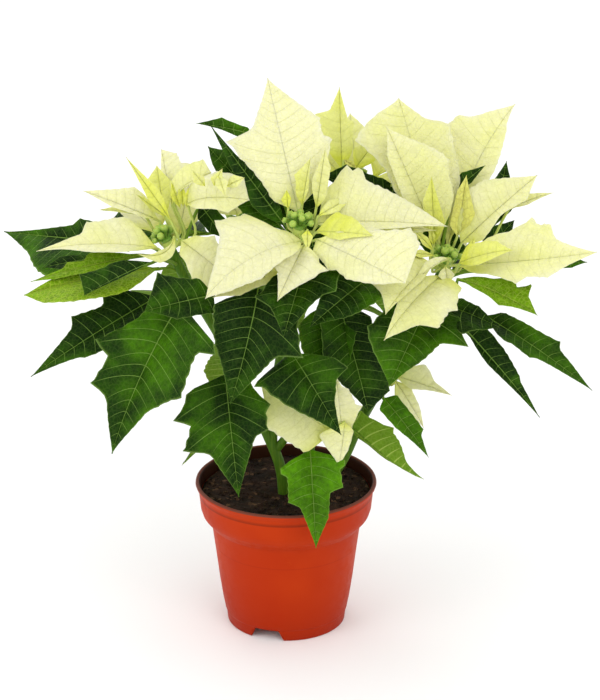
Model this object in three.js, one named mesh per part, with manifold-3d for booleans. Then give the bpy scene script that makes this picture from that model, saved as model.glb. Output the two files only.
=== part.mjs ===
// A white poinsettia growing in its round nursery pot.
// Millimetres, +Z up. The origin is the middle of the pot's foot, on the surface it stands on.
// The plant is three rooted cuttings, each a leafy stem that forks to two or three flower heads.
// A flower head is a rosette of cream bracts round a cluster of small green cyathia.

import * as THREE from 'three';
import * as BufferGeometryUtils from 'three/addons/utils/BufferGeometryUtils.js';
import Module from 'manifold-3d';

const wasm = await Module();
wasm.setup();

// ---- driving dimensions ----

const RIM_RADIUS = 65;
const POT_HEIGHT = 108;
const WALL = 1.8;
const FOOT_RADIUS = 43.4;
const FOOT_HEIGHT = 9;
const NOTCH_WIDTH = 20;
const NOTCH_ANGLE = -109;
const SOIL_TOP = 101;
const GAP = 0.3;
const STEM_RADIUS = 4;
const SHOOT_RADIUS = 3;
const STALK_RADIUS = 1.2;
const STALK_THICKNESS = 2;
const LEAF_THICKNESS = 0.8;
const HUB_RADIUS = 4.2;
const HUB_HEIGHT = 6;
const BUD_RADIUS = 2.4;
const SEAT_HEIGHT = 2;
const STALK_START = 1.6;
const BASE_CLEARANCE = 4;

// ---- materials ----

const finish = (color, roughness) => new THREE.MeshStandardMaterial({ color, roughness, metalness: 0 });
const POT_PLASTIC = finish(0xc2481f, 0.45);
const SOIL = finish(0x2e1f17, 0.95);
const GREEN_LEAF = finish(0x2c5a1c, 0.5);
const CREAM_BRACT = finish(0xf0f0be, 0.6);
const GREEN_BUD = finish(0x7ba32c, 0.5);

// ---- small tools ----

const V = (p) => new THREE.Vector3(...p);
const UP = new THREE.Vector3(0, 0, 1);

function seededRandom(seed) {
  let state = seed;
  return () => {
    state = (state * 1664525 + 1013904223) % 4294967296;
    return state / 4294967296;
  };
}

function toSolid(geometry) {
  const bare = geometry.index ? geometry.clone() : geometry;
  bare.deleteAttribute('normal');
  bare.deleteAttribute('uv');
  const merged = BufferGeometryUtils.mergeVertices(bare, 1e-4);
  return new wasm.Manifold(new wasm.Mesh({
    numProp: 3,
    vertProperties: new Float32Array(merged.attributes.position.array),
    triVerts: new Uint32Array(merged.index.array),
  }));
}

function toGeometry(solid) {
  const mesh = solid.getMesh();
  const geometry = new THREE.BufferGeometry();
  geometry.setAttribute('position', new THREE.BufferAttribute(mesh.vertProperties, 3));
  geometry.setIndex(new THREE.BufferAttribute(mesh.triVerts, 1));
  geometry.computeVertexNormals();
  return geometry;
}

function join(geometries) {
  return wasm.Manifold.union(geometries.map(toSolid));
}

// A round bar along a smooth path.
function bar(points, radius, sides, steps) {
  const section = new THREE.Shape();
  for (let i = 0; i < sides; i += 1) {
    const a = (2 * Math.PI * i) / sides;
    const go = i === 0 ? 'moveTo' : 'lineTo';
    section[go](radius * Math.cos(a), radius * Math.sin(a));
  }
  const path = new THREE.CatmullRomCurve3(points);
  return new THREE.ExtrudeGeometry(section, { steps, extrudePath: path, curveSegments: 1 });
}

// ---- leaf blades ----

// Half width over length at share s along one edge, from its teeth [s, half width, share kept after it].
const NOTCH_RUN = 0.03;

function halfWidth(teeth, s) {
  const [first, width] = teeth[0];
  if (s <= first) return Math.max(0.012, width * Math.sin((Math.PI / 2) * (s / first) ** 1.2));
  for (let i = 0; i < teeth.length; i += 1) {
    const [at, wide, kept] = teeth[i];
    const low = wide * kept;
    const run = kept < 1 ? NOTCH_RUN : 0;
    if (run > 0 && s <= at + run) return wide + ((low - wide) * (s - at)) / run;
    const next = teeth[i + 1];
    if (next && s <= next[0]) {
      const u = (s - at - run) / (next[0] - at - run);
      return low + (next[1] - low) * u ** 1.2;
    }
    if (!next) {
      const u = Math.min(1, (s - at - run) / (1 - at - run));
      return Math.max(0.008, low * (1 - u) ** 1.15);
    }
  }
  return 0.008;
}

// The shares along one edge where it needs a point: each tooth, the notch behind it, and between.
function edgeShares(teeth) {
  const shares = [0, 0.5 * teeth[0][0]];
  for (const [at, , kept] of teeth) {
    shares.push(at);
    if (kept < 1) shares.push(at + NOTCH_RUN);
  }
  shares.push((teeth[teeth.length - 1][0] + 1.1) / 2, 1);
  return shares;
}

// More shares by halving the longest stretch, until there are enough.
function padded(shares, count) {
  const full = [...shares];
  while (full.length < count) {
    let widest = 1;
    for (let i = 2; i < full.length; i += 1) {
      if (full[i] - full[i - 1] > full[widest] - full[widest - 1]) widest = i;
    }
    full.splice(widest, 0, (full[widest] + full[widest - 1]) / 2);
  }
  return full;
}

// A blade's own frame: the midrib is a Bezier curve that arches towards the upper face and sways to the right.
function bladeFrame(leaf) {
  const { arch = 0.05, sway = 0, twist = 0 } = leaf;
  const base = V(leaf.from);
  const tip = V(leaf.to);
  const chord = tip.clone().sub(base);
  const length = chord.length();
  const ahead = chord.clone().normalize();
  const faces = V(leaf.faces);
  const up = faces.clone().addScaledVector(ahead, -faces.dot(ahead)).normalize();
  const right = ahead.clone().cross(up);
  const control = (share) => base.clone().addScaledVector(chord, share)
    .addScaledVector(up, arch * length).addScaledVector(right, sway * length);
  const midrib = new THREE.CubicBezierCurve3(base, control(0.3), control(0.72), tip);
  const at = (s) => {
    const tangent = midrib.getTangent(s);
    const normal = up.clone().addScaledVector(tangent, -up.dot(tangent)).normalize();
    normal.applyAxisAngle(tangent, twist * s);
    return { centre: midrib.getPoint(s), normal, side: tangent.clone().cross(normal) };
  };
  return { at, up, length };
}

// A cross-section: left edge, middle and right edge on top, and the same below.
function crossSection(top, down) {
  return [...top, ...top.map((p) => p.clone().add(down))];
}

// A thin closed blade folded along its midrib, on its stalk. Both faces have the same triangles.
// The stalk starts at root, inside what the leaf grows from, and passes through elbow.
function leafOnStalk(leaf, root, elbow) {
  const { fold = 0.35 } = leaf;
  const { at, up, length } = bladeFrame(leaf);
  const leftShares = edgeShares(leaf.left);
  const rightShares = edgeShares(leaf.right);
  const count = Math.max(leftShares.length, rightShares.length);
  const left = padded(leftShares, count);
  const right = padded(rightShares, count);
  const edge = (way, teeth, s) => {
    const { centre, normal, side } = at(s);
    const w = halfWidth(teeth, s) * length;
    return centre.addScaledVector(side, way * w * Math.cos(fold)).addScaledVector(normal, w * Math.sin(fold));
  };
  const start = at(0);
  const rows = [];
  for (const [here, next] of [[root, elbow], [elbow, start.centre]]) {
    const run = next.clone().sub(here).normalize();
    const wide = run.clone().cross(up).normalize();
    const down = wide.clone().cross(run).multiplyScalar(-STALK_THICKNESS);
    const middle = here.clone().addScaledVector(down, -0.5);
    const top = [-1, 0, 1].map((k) => middle.clone().addScaledVector(wide, k * STALK_RADIUS));
    rows.push(crossSection(top, down));
  }
  for (let i = 0; i < count; i += 1) {
    const { centre, normal } = at((left[i] + right[i]) / 2);
    const top = [edge(-1, leaf.left, left[i]), centre, edge(1, leaf.right, right[i])];
    rows.push(crossSection(top, normal.multiplyScalar(-LEAF_THICKNESS)));
  }
  return rowsToGeometry(rows);
}

// A closed skin over rows of six points.
function rowsToGeometry(rows) {
  const ROW = 6;
  const index = [];
  const quad = (a, b, c, d) => index.push(a, b, c, a, c, d);
  for (let i = 0; i + 1 < rows.length; i += 1) {
    const a = i * ROW;
    const b = a + ROW;
    for (const k of [0, 1]) {
      quad(a + k, a + k + 1, b + k + 1, b + k);
      index.push(a + k + 3, b + k + 4, a + k + 4, a + k + 3, b + k + 3, b + k + 4);
    }
    quad(a + 3, a, b, b + 3);
    quad(a + 2, a + 5, b + 5, b + 2);
  }
  const z = (rows.length - 1) * ROW;
  quad(0, 3, 4, 1);
  quad(1, 4, 5, 2);
  quad(z, z + 1, z + 4, z + 3);
  quad(z + 1, z + 2, z + 5, z + 4);
  const geometry = new THREE.BufferGeometry();
  const position = rows.flat().flatMap((p) => p.toArray());
  geometry.setAttribute('position', new THREE.Float32BufferAttribute(position, 3));
  geometry.setIndex(index);
  return geometry;
}

// ---- tables of the plant ----
// from: where the stalk meets the blade. to: its tip. faces: the way its upper face looks.
// right and left: the teeth on each edge, seen from above with the tip ahead.

const oval = (w) => [[0.42, w, 1]];
const plain = (from, to, faces, w, bend = {}) => ({ from, to, faces, right: oval(w), left: oval(w), ...bend });
const cut = (from, to, faces, right, left, bend = {}) => ({ from, to, faces, right, left, ...bend });
// A usual poinsettia leaf: two shallow teeth on each edge.
const usual = (from, to, faces, w, bend = {}) => cut(from, to, faces,
  [[0.38, w, 0.7], [0.66, 0.62 * w, 1]], [[0.33, w, 0.7], [0.62, 0.66 * w, 1]], bend);

const STEMS = {
  left: {
    paths: [
      [[-1, -8, 90], [-4, -11, 122], [-14, -12, 150], [-42, -13, 215], [-68, -12, 262], [-79, -11, 286]],
      [[-9, -11, 138], [-8, -18, 180], [0, -30, 240], [6, -39, 286], [8.5, -42, 306]],
      [[-8, -11, 134], [4, -17, 152], [16, -23, 164], [26, -28, 170]],
    ],
    leaves: {
      lower_left_large: cut([-71, -58, 264], [-117, -98, 170], [-0.25, -0.75, 0.6],
        [[0.17, 0.17, 1], [0.43, 0.36, 0.62], [0.64, 0.27, 0.65]],
        [[0.2, 0.5, 0.67], [0.52, 0.38, 0.84], [0.66, 0.18, 1]], { sway: 0.03 }),
      far_left_low: cut([-88, -16, 253], [-175, -48, 206], [-0.3, -0.75, 0.55],
        [[0.31, 0.22, 0.6], [0.55, 0.18, 0.7]], [[0.36, 0.2, 1], [0.62, 0.14, 0.85]]),
      under_left_head: cut([-48, -67, 273], [-94, -85, 268], [-0.2, -0.85, 0.5],
        [[0.22, 0.27, 1], [0.69, 0.48, 1]], [[0.12, 0.3, 1], [0.61, 0.26, 1]], { elbow: [-60, -38, 252] }),
      under_front_head: cut([-18, -68, 278], [-37, -95, 205], [-0.05, -0.8, 0.6],
        [[0.24, 0.36, 1], [0.54, 0.27, 1]], [[0.22, 0.44, 1], [0.47, 0.55, 0.6]], { sway: -0.03 }),
      front_low_left: cut([-41, -56, 211], [-32, -78, 129], [-0.1, -0.85, 0.5],
        [[0.14, 0.34, 1], [0.33, 0.48, 0.68], [0.56, 0.43, 0.53]],
        [[0.07, 0.21, 1], [0.28, 0.39, 0.87], [0.46, 0.34, 0.7]]),
      low_left_pale: plain([-44, -28, 158], [-73, -36, 134], [-0.3, 0.3, 1], 0.25),
      front_top: cut([13, -57, 289], [-1, -108, 258], [0, -0.6, 0.8],
        [[0.48, 0.36, 1], [0.64, 0.46, 0.61]], [[0.12, 0.46, 1], [0.38, 0.48, 0.76]]),
      front_middle: cut([4, -62, 230], [38, -82, 177], [0.1, -0.8, 0.6],
        [[0.14, 0.62, 0.9], [0.57, 0.3, 1]], [[0.44, 0.42, 0.63], [0.64, 0.12, 1]]),
      front_lowest: cut([17, -47, 151], [21, -88, 95], [0.05, -0.85, 0.5],
        [[0.27, 0.36, 0.75], [0.55, 0.28, 0.6]], [[0.22, 0.38, 0.8], [0.425, 0.33, 0.55], [0.7, 0.15, 1]]),
      far_left_high: cut([-108, 20, 280], [-204, 84, 266], [-0.1, -0.7, 0.6],
        [[0.43, 0.13, 0.69]], [[0.48, 0.33, 1], [0.7, 0.16, 1]], { arch: -0.02 }),
      left_olive_upper: cut([-98, -24, 286], [-174, -36, 271], [-0.1, -0.6, 0.8],
        [[0.46, 0.11, 0.41], [0.64, 0.08, 0.5]], [[0.3, 0.07, 1], [0.51, 0.1, 1], [0.76, 0.07, 1]]),
      left_dark: cut([-90, -40, 287], [-135, -68, 273], [-0.1, -0.6, 0.8],
        [[0.52, 0.2, 1], [0.9, 0.26, 1]], [[0.53, 0.05, 1]]),
      left_olive_lower: cut([-87, -14, 273], [-178, -46, 265], [-0.1, -0.5, 1],
        [[0.36, 0.08, 1], [0.65, 0.1, 1]], [[0.42, 0.34, 1], [0.7, 0.34, 1], [0.89, 0.22, 1]]),
      behind_front_a: cut([-23, 1, 365], [-61, 3, 372], [0, -0.8, 0.6],
        [[0.12, 0.1, 1], [0.56, 0.17, 1]],
        [[0.06, 0.16, 1], [0.52, 0.06, 1]], { arch: 0.08, elbow: [-8, -4, 340] }),
      behind_front_b: cut([1, -30, 308], [-51, -10, 375], [-0.2, -0.8, 0.5],
        [[0.34, 0.1, 1], [0.66, 0.03, 1]], [[0.31, 0.12, 1], [0.77, 0.04, 1]], { elbow: [4, -38, 300] }),
      left_back_low: usual([-66, 14, 240], [-128, 62, 206], [-0.4, 0.5, 0.8], 0.4),
      left_back_high: cut([-84, 20, 285], [-134, 62, 276], [-0.1, -0.5, 0.8],
        [[0.44, 0.2, 0.85], [0.76, 0.22, 0.8]], [[0.38, 0.2, 0.8], [0.66, 0.2, 0.8]]),
      crinkled: cut([-1, -27, 305], [-53, 2, 356], [-0.2, -0.8, 0.5],
        [[0.38, 0.1, 1], [0.79, 0.14, 1]],
        [[0.34, 0.18, 1], [0.76, 0.1, 1], [0.9, 0.05, 1]], { elbow: [4, -36, 298] }),
      behind_front_c: cut([9, -24, 297], [11, 2, 348], [0, -0.8, 0.5],
        [[0.24, 0.29, 1], [0.55, 0.38, 1]], [[0.18, 0.21, 1], [0.44, 0.31, 1]]),
    },
  },
  right: {
    paths: [
      [[28, -2, 90], [33, -4, 110], [43, -6, 131], [51, -4, 150], [80, -8, 215], [102, -15, 256], [108, -19, 274]],
      [[46, -6, 138], [58, 2, 160], [66, 8, 171], [72, 11, 177]],
    ],
    leaves: {
      inner_dark: cut([36, -34, 258], [28, -50, 204], [0, -0.85, 0.5],
        [[0.4, 0.46, 1], [0.73, 0.32, 1]], [[0.26, 0.31, 1], [0.68, 0.28, 1]]),
      right_dark_long: cut([37, -40, 256], [57, -56, 183], [0.1, -0.85, 0.5],
        [[0.12, 0.25, 1], [0.46, 0.34, 1]], [[0.2, 0.25, 1], [0.6, 0.28, 1], [0.83, 0.24, 1]]),
      right_front_dark: cut([59, -50, 281], [16, -92, 259], [0, -0.7, 0.7],
        [[0.32, 0.24, 1], [0.62, 0.19, 1]], [[0.29, 0.35, 1], [0.67, 0.22, 1]]),
      right_front_large: cut([98, -50, 261], [70, -92, 217], [0, -0.75, 0.65],
        [[0.32, 0.4, 1], [0.56, 0.48, 1], [0.76, 0.3, 1]],
        [[0.1, 0.4, 1], [0.38, 0.62, 0.54], [0.74, 0.14, 1]]),
      right_front_small: cut([109, -46, 258], [145, -66, 249], [0.2, -0.6, 0.75],
        [[0.62, 0.6, 1]], [[0.24, 0.2, 1], [0.52, 0.18, 1]]),
      far_right_low: cut([138, -26, 242], [209, -68, 204], [0.25, -0.6, 0.75],
        [[0.29, 0.17, 0.82], [0.49, 0.15, 0.73], [0.67, 0.08, 1]],
        [[0.12, 0.11, 1], [0.34, 0.12, 1], [0.57, 0.16, 0.7]]),
      right_narrow: cut([124, -34, 235], [175, -56, 179], [0.3, -0.8, 0.4],
        [[0.36, 0.08, 1]], [[0.08, 0.15, 1], [0.34, 0.14, 1], [0.6, 0.09, 0.8]]),
      right_low_bright: cut([68, -38, 186], [99, -56, 149], [0.1, -0.6, 0.8],
        [[0.13, 0.22, 1], [0.42, 0.18, 1]], [[0.1, 0.17, 1], [0.3, 0.17, 1], [0.64, 0.16, 0.69]]),
      right_low_olive: cut([42, -22, 163], [97, -37, 124], [0.45, 0.75, 0.45],
        [[0.05, 0.25, 1], [0.42, 0.37, 0.84], [0.73, 0.1, 1]], [[0.22, 0.17, 1]], { arch: -0.08 }),
      right_up_a: plain([144, 16, 292], [155, 45, 332], [0.2, -0.6, 0.8], 0.25),
      right_up_b: plain([138, 4, 276], [160, 22, 296], [0.2, -0.5, 0.8], 0.35),
      far_right_thin: cut([138, -6, 268], [207, -24, 281], [0, -0.7, 0.7],
        [[0.84, 0.07, 1]], [[0.84, 0.07, 1]]),
      right_pale_veined: cut([117, -46, 277], [170, -69, 259], [0.2, -0.6, 0.8],
        [[0.32, 0.1, 1], [0.57, 0.19, 1]],
        [[0.31, 0.12, 1], [0.58, 0.27, 0.54], [0.74, 0.3, 0.54]], { fold: 0.25, sway: -0.04, elbow: [115, -36, 262] }),
      right_back_high: usual([118, 26, 256], [172, 74, 238], [0.3, 0.4, 1], 0.38),
      right_back_low: usual([92, 26, 222], [140, 74, 186], [0.4, 0.5, 0.7], 0.42),
    },
  },
  back: {
    paths: [
      [[14, 22, 90], [18, 30, 130], [24, 38, 170], [38, 50, 240], [47, 57, 290], [49.5, 59, 304]],
      [[17, 29, 124], [3, 38, 170], [-16, 48, 225], [-28, 56, 262], [-31, 58, 278]],
    ],
    leaves: {
      back_left_large: usual([-46, 70, 256], [-88, 106, 190], [-0.4, 0.7, 0.5], 0.44),
      back_middle_large: usual([-4, 62, 240], [-12, 107, 160], [0, 0.85, 0.5], 0.42),
      back_right_large: usual([56, 74, 262], [78, 106, 186], [0.3, 0.8, 0.5], 0.42),
      back_low_left: usual([-16, 54, 194], [-52, 94, 128], [-0.4, 0.7, 0.5], 0.42),
      back_low_right: usual([36, 60, 190], [58, 96, 124], [0.4, 0.7, 0.5], 0.4),
      back_right_high: usual([68, 76, 280], [126, 106, 244], [0.4, 0.5, 0.7], 0.38),
      back_gap: usual([20, 70, 276], [16, 106, 254], [0, 0.6, 0.8], 0.4),
      back_left_high: usual([-56, 64, 272], [-116, 96, 246], [-0.4, 0.4, 0.8], 0.36),
    },
  },
};

// Flower heads: the stem path that carries each, the number of cyathia, and the bracts.
const HEADS = {
  front: {
    stem: 'left', path: 1, buds: 9, spread: 8,
    bracts: {
      tall: cut([9, -36, 320], [-12, 0, 405], [-0.1, -0.75, 0.6],
        [[0.3, 0.31, 1], [0.46, 0.38, 0.81], [0.61, 0.32, 1]],
        [[0.16, 0.18, 1], [0.47, 0.34, 1], [0.6, 0.41, 0.55]], { fold: 0.1 }),
      left_large: cut([11, -50, 307], [-53, -88, 278], [-0.3, -0.5, 0.8],
        [[0.1, 0.15, 1], [0.29, 0.46, 1], [0.54, 0.52, 0.72]],
        [[0.27, 0.24, 1], [0.57, 0.32, 1], [0.8, 0.22, 1]], { arch: 0.2, fold: 0.2 }),
      front_small: cut([13, -57, 306], [-5, -98, 280], [0, -0.7, 0.7],
        [[0.3, 0.14, 1], [0.56, 0.27, 0.68]], [[0.3, 0.32, 1], [0.45, 0.52, 0.86], [0.66, 0.24, 1]]),
      right_front: cut([21, -54, 308], [80, -88, 289], [-0.1, -0.75, 0.65],
        [[0.08, 0.16, 1], [0.32, 0.26, 0.8], [0.5, 0.26, 1], [0.82, 0.12, 1]],
        [[0.3, 0.24, 1], [0.76, 0.5, 1], [0.93, 0.4, 1]], { fold: 0.2 }),
      right_pale: cut([22, -38, 314], [110, -36, 311], [0, -0.5, 0.85],
        [[0.22, 0.26, 1], [0.42, 0.28, 0.5]],
        [[0.08, 0.28, 1], [0.23, 0.49, 0.85], [0.34, 0.46, 0.74], [0.65, 0.21, 1]]),
      right_yellow: cut([19, -46, 311], [59, -70, 316], [0, -0.6, 0.8],
        [[0.52, 0.16, 1]], [[0.28, 0.36, 1], [0.65, 0.22, 1]], { fold: 0.1 }),
      upright_left: cut([11, -38, 324], [17, -36, 360], [-0.1, -1, 0.15],
        [[0.4, 0.08, 1]], [[0.33, 0.18, 1], [0.61, 0.26, 1]], { arch: 0 }),
      upright_right: cut([21, -34, 323], [27, -37, 367], [0.1, -1, 0.15],
        [[0.27, 0.13, 1], [0.7, 0.13, 1]], [[0.5, 0.15, 1]], { arch: 0 }),
      right_narrow: plain([22, -41, 320], [48, -24, 329], [0.1, -0.6, 0.7], 0.18),
    },
  },
  left: {
    stem: 'left', path: 0, buds: 8, spread: 6,
    bracts: {
      left_large: cut([-86, -16, 290], [-170, -30, 291], [0, -0.35, 1],
        [[0.29, 0.26, 1], [0.57, 0.23, 0.5]], [[0.4, 0.26, 1]], { arch: 0.08 }),
      left_upper: cut([-87, -2, 303], [-140, 5, 323], [-0.1, -0.7, 0.65],
        [[0.44, 0.26, 1]], [[0.28, 0.06, 1], [0.58, 0.09, 1]]),
      back_yellow: cut([-83, 2, 304], [-89, 16, 338], [-0.1, -0.8, 0.5], [[0.62, 0.27, 1]], [[0.71, 0.25, 1]]),
      lime_spear: plain([-83, -12, 306], [-109, -6, 351], [0.2, -0.9, 0.4], 0.1),
      back_pale: cut([-78, 0, 314], [-87, 40, 342], [0, -0.7, 0.7],
        [[0.42, 0.26, 1], [0.8, 0.22, 1]], [[0.36, 0.12, 1]]),
      curled_over: cut([-77, -4, 317], [-50, -20, 344], [0, -0.7, 0.7],
        [[0.7, 0.03, 1]], [[0.3, 0.22, 1], [0.68, 0.3, 1], [0.95, 0.26, 1]], { arch: 0.25 }),
      right_crumpled: cut([-67, -14, 319], [-24, -34, 329], [0, -0.8, 0.6],
        [[0.47, 0.21, 1], [0.76, 0.28, 1]], [[0.22, 0.24, 1], [0.58, 0.38, 1], [0.89, 0.3, 1]], { arch: 0.3 }),
      hanging_curl: cut([-76, -22, 299], [-100, -46, 295], [0.1, -0.7, 0.7],
        [[0.56, 0.08, 1]], [[0.68, 0.24, 1]], { sway: -0.3, arch: 0 }),
      right_front: cut([-71, -22, 296], [-33, -50, 275], [-0.1, -0.75, 0.65],
        [[0.2, 0.21, 1], [0.62, 0.45, 0.82], [0.9, 0.44, 1]], [[0.19, 0.19, 1], [0.38, 0.32, 1]]),
      back_left: usual([-88, 8, 290], [-122, 58, 300], [-0.3, 0.3, 1], 0.38),
      back_right: usual([-74, 8, 290], [-68, 52, 314], [0.1, 0, 1], 0.36),
    },
  },
  right: {
    stem: 'right', path: 0, buds: 8, spread: 8,
    bracts: {
      tall: cut([107, -16, 290], [69, -2, 371], [-0.1, -0.8, 0.6],
        [[0.41, 0.3, 1], [0.57, 0.36, 1], [0.81, 0.16, 1]],
        [[0.47, 0.12, 1], [0.78, 0.1, 1]], { arch: 0.03 }),
      tall_lime: cut([106, -19, 290], [99, -28, 344], [0, -1, 0.15],
        [[0.38, 0.16, 1]], [[0.44, 0.13, 1], [0.67, 0.14, 1]], { arch: 0 }),
      tall_far_right: cut([112, -8, 288], [160, 46, 373], [-0.2, -0.7, 0.7],
        [[0.52, 0.14, 1], [0.8, 0.07, 0.8]], [[0.48, 0.32, 1], [0.74, 0.27, 0.75]], { sway: -0.06, fold: 0.2 }),
      tall_back: cut([106, -8, 288], [78, 30, 382], [0, -0.7, 0.7],
        [[0.46, 0.26, 1], [0.72, 0.28, 1], [0.8, 0.14, 1]],
        [[0.51, 0.22, 1], [0.77, 0.38, 1], [0.93, 0.16, 0.82]], { fold: 0.15 }),
      right_upper: cut([121, -13, 291], [173, 0, 336], [0.1, -0.7, 0.7],
        [[0.2, 0.15, 1], [0.46, 0.08, 1], [0.74, 0.15, 1]],
        [[0.16, 0.22, 1], [0.37, 0.35, 1], [0.57, 0.32, 1]], { arch: 0.05 }),
      brown_veined: cut([117, -16, 295], [124, -6, 338], [0, -0.9, 0.4],
        [[0.42, 0.24, 1]], [[0.21, 0.16, 1], [0.73, 0.12, 1]], { arch: 0 }),
      right_large: cut([118, -30, 281], [208, -74, 306], [0, -0.55, 0.83],
        [[0.22, 0.14, 1], [0.51, 0.3, 0.67], [0.71, 0.26, 1]],
        [[0.29, 0.22, 1], [0.51, 0.32, 0.78], [0.64, 0.24, 0.62]], { arch: -0.02 }),
      right_yellow: cut([118, -41, 286], [153, -59, 302], [0, -0.6, 0.8],
        [[0.52, 0.3, 1]], [[0.29, 0.25, 1], [0.73, 0.18, 1]], { arch: 0.1 }),
      front_low: cut([107, -38, 276], [66, -90, 249], [-0.1, -0.7, 0.7],
        [[0.3, 0.12, 1], [0.55, 0.14, 1]],
        [[0.24, 0.34, 1], [0.46, 0.48, 0.85], [0.7, 0.46, 0.6]], { arch: 0.16 }),
      left_low: cut([101, -36, 284], [67, -86, 266], [-0.2, -0.6, 0.8],
        [[0.15, 0.24, 1], [0.42, 0.22, 1], [0.76, 0.32, 0.67]],
        [[0.43, 0.12, 1], [0.72, 0.08, 1]], { arch: 0.12 }),
      back_left: usual([102, 4, 276], [92, 56, 296], [0, 0.3, 1], 0.36),
      back_right: usual([112, 6, 270], [118, 62, 268], [0.2, 0.3, 1], 0.34),
    },
  },
  back_right: {
    stem: 'back', path: 0, buds: 5, spread: 6,
    bracts: {
      yellow_tall: cut([40, 60, 320], [38, 85, 374], [-0.1, -0.8, 0.5],
        [[0.3, 0.16, 1], [0.55, 0.19, 0.6]], [[0.42, 0.24, 1], [0.66, 0.32, 0.48]]),
      pale_right: plain([50, 56, 322], [66, 70, 342], [0, -0.7, 0.7], 0.3, { arch: 0 }),
      drooping: plain([60, 52, 315], [86, 26, 309], [0.2, -0.4, 1], 0.24, { arch: 0.25 }),
      back_middle: usual([50, 74, 312], [46, 108, 348], [0, 0.2, 1], 0.38),
      back_left: usual([40, 68, 312], [4, 104, 340], [-0.2, 0, 1], 0.36),
      back_right: usual([62, 68, 312], [112, 104, 330], [0.3, 0.2, 1], 0.36),
    },
  },
  back_left: {
    stem: 'back', path: 1, buds: 5, spread: 6,
    bracts: {
      left: usual([-42, 62, 287], [-88, 88, 318], [-0.3, -0.3, 1], 0.34),
      back: usual([-36, 70, 288], [-48, 110, 302], [-0.1, 0.3, 1], 0.42),
      back_right: usual([-24, 68, 290], [2, 108, 314], [0.2, 0.3, 1], 0.38),
      right: usual([-21, 56, 290], [4, 50, 318], [0.3, -0.5, 0.8], 0.34),
      upright: usual([-34, 50, 290], [-42, 36, 322], [-0.2, -0.7, 0.6], 0.34),
    },
  },
  low_front: {
    stem: 'left', path: 2, buds: 3, spread: 4,
    bracts: {
      left_lobed: cut([33, -50, 166], [-17, -62, 206], [-0.1, -0.88, 0.38],
        [[0.4, 0.02, 1]], [[0.21, 0.36, 1], [0.75, 0.36, 0.7]], { fold: 0.15 }),
      right_drooping: cut([40, -44, 162], [37, -53, 150], [0.1, -0.8, 0.5],
        [[0.61, 0.28, 1]], [[0.3, 0.4, 1]], { fold: 0.1 }),
      upright: cut([39, -50, 165], [34, -68, 216], [0.1, -0.85, 0.4],
        [[0.06, 0.13, 1], [0.44, 0.3, 0.73], [0.75, 0.14, 0.56]],
        [[0.38, 0.08, 1], [0.62, 0.07, 1]], { fold: 0.2 }),
    },
  },
  low_right: {
    stem: 'right', path: 1, buds: 3, spread: 4,
    bracts: {
      right_upper: cut([76, 8, 184], [118, 8, 169], [0, -0.5, 0.8],
        [[0.32, 0.22, 1]], [[0.44, 0.31, 1], [0.64, 0.12, 1]]),
      right_lower: cut([77, 3, 183], [98, -2, 148], [0.2, -0.7, 0.6],
        [[0.3, 0.26, 1]], [[0.29, 0.16, 1], [0.69, 0.1, 1]]),
      back: plain([76, 18, 182], [92, 48, 190], [0.1, 0.3, 1], 0.34),
    },
  },
};

// ---- pot and soil ----

function potGeometry() {
  const outer = [
    [FOOT_RADIUS - 1, 0], [FOOT_RADIUS, FOOT_HEIGHT - 1], [FOOT_RADIUS + 0.7, FOOT_HEIGHT + 0.6],
    [50.9, 56], [53.6, 76], [59.5, 83], [61.3, 88], [62.8, 103], [RIM_RADIUS - 0.6, 104.5],
    [RIM_RADIUS, POT_HEIGHT - 1.5], [RIM_RADIUS - 1, POT_HEIGHT], [RIM_RADIUS - 3, POT_HEIGHT],
  ];
  const inner = [
    [RIM_RADIUS - 3.6, 103], [61.3 - WALL, 88], [59.5 - WALL, 84], [53.6 - WALL, 77],
    [FOOT_RADIUS - 1.2, FOOT_HEIGHT + WALL], [0, FOOT_HEIGHT + WALL],
  ];
  const under = [[0, FOOT_HEIGHT - 0.5], [FOOT_RADIUS - 4, FOOT_HEIGHT - 0.5], [FOOT_RADIUS - 4.4, 0]];
  const profile = [...under, ...outer, ...inner].map(([r, z]) => new THREE.Vector2(r, z));
  const shell = toSolid(new THREE.LatheGeometry(profile, 26).rotateX(Math.PI / 2));
  const notches = [0, 1].map((k) => {
    const notch = new THREE.BoxGeometry(14, NOTCH_WIDTH, FOOT_HEIGHT - 1.5 + 4);
    notch.translate(FOOT_RADIUS, 0, (FOOT_HEIGHT - 1.5) / 2 - 2);
    return toSolid(notch.rotateZ(THREE.MathUtils.degToRad(NOTCH_ANGLE + 180 * k)));
  });
  return toGeometry(shell.subtract(wasm.Manifold.union(notches)));
}

function mainStem(stem, radius) {
  return bar(stem.paths[0].map(V), radius, 6, 8);
}

function stemBars(stem) {
  const shoots = stem.paths.slice(1).map((points) => bar(points.map(V), SHOOT_RADIUS, 6, 5));
  return [mainStem(stem, STEM_RADIUS), ...shoots];
}

// The compost fills the pot up to the collar, with a plain hole round each stem.
function soilGeometry() {
  const floor = FOOT_HEIGHT + WALL + GAP;
  const side = (r) => r - WALL - GAP - 0.5;
  const profile = [
    [0, floor], [FOOT_RADIUS - 3, floor], [side(53.6), 76.5], [side(59.5), 84.5],
    [side(61.3), 88.5], [side(62), SOIL_TOP - 2], [40, SOIL_TOP - 0.5], [18, SOIL_TOP + 1], [0, SOIL_TOP + 1.5],
  ].map(([r, z]) => new THREE.Vector2(r, z));
  let soil = toSolid(new THREE.LatheGeometry(profile, 20).rotateX(Math.PI / 2));
  for (const stem of Object.values(STEMS)) {
    soil = soil.subtract(toSolid(mainStem(stem, STEM_RADIUS + 1.4 * GAP)));
  }
  return toGeometry(soil);
}

// ---- stems, bracts and cyathia ----

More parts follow.
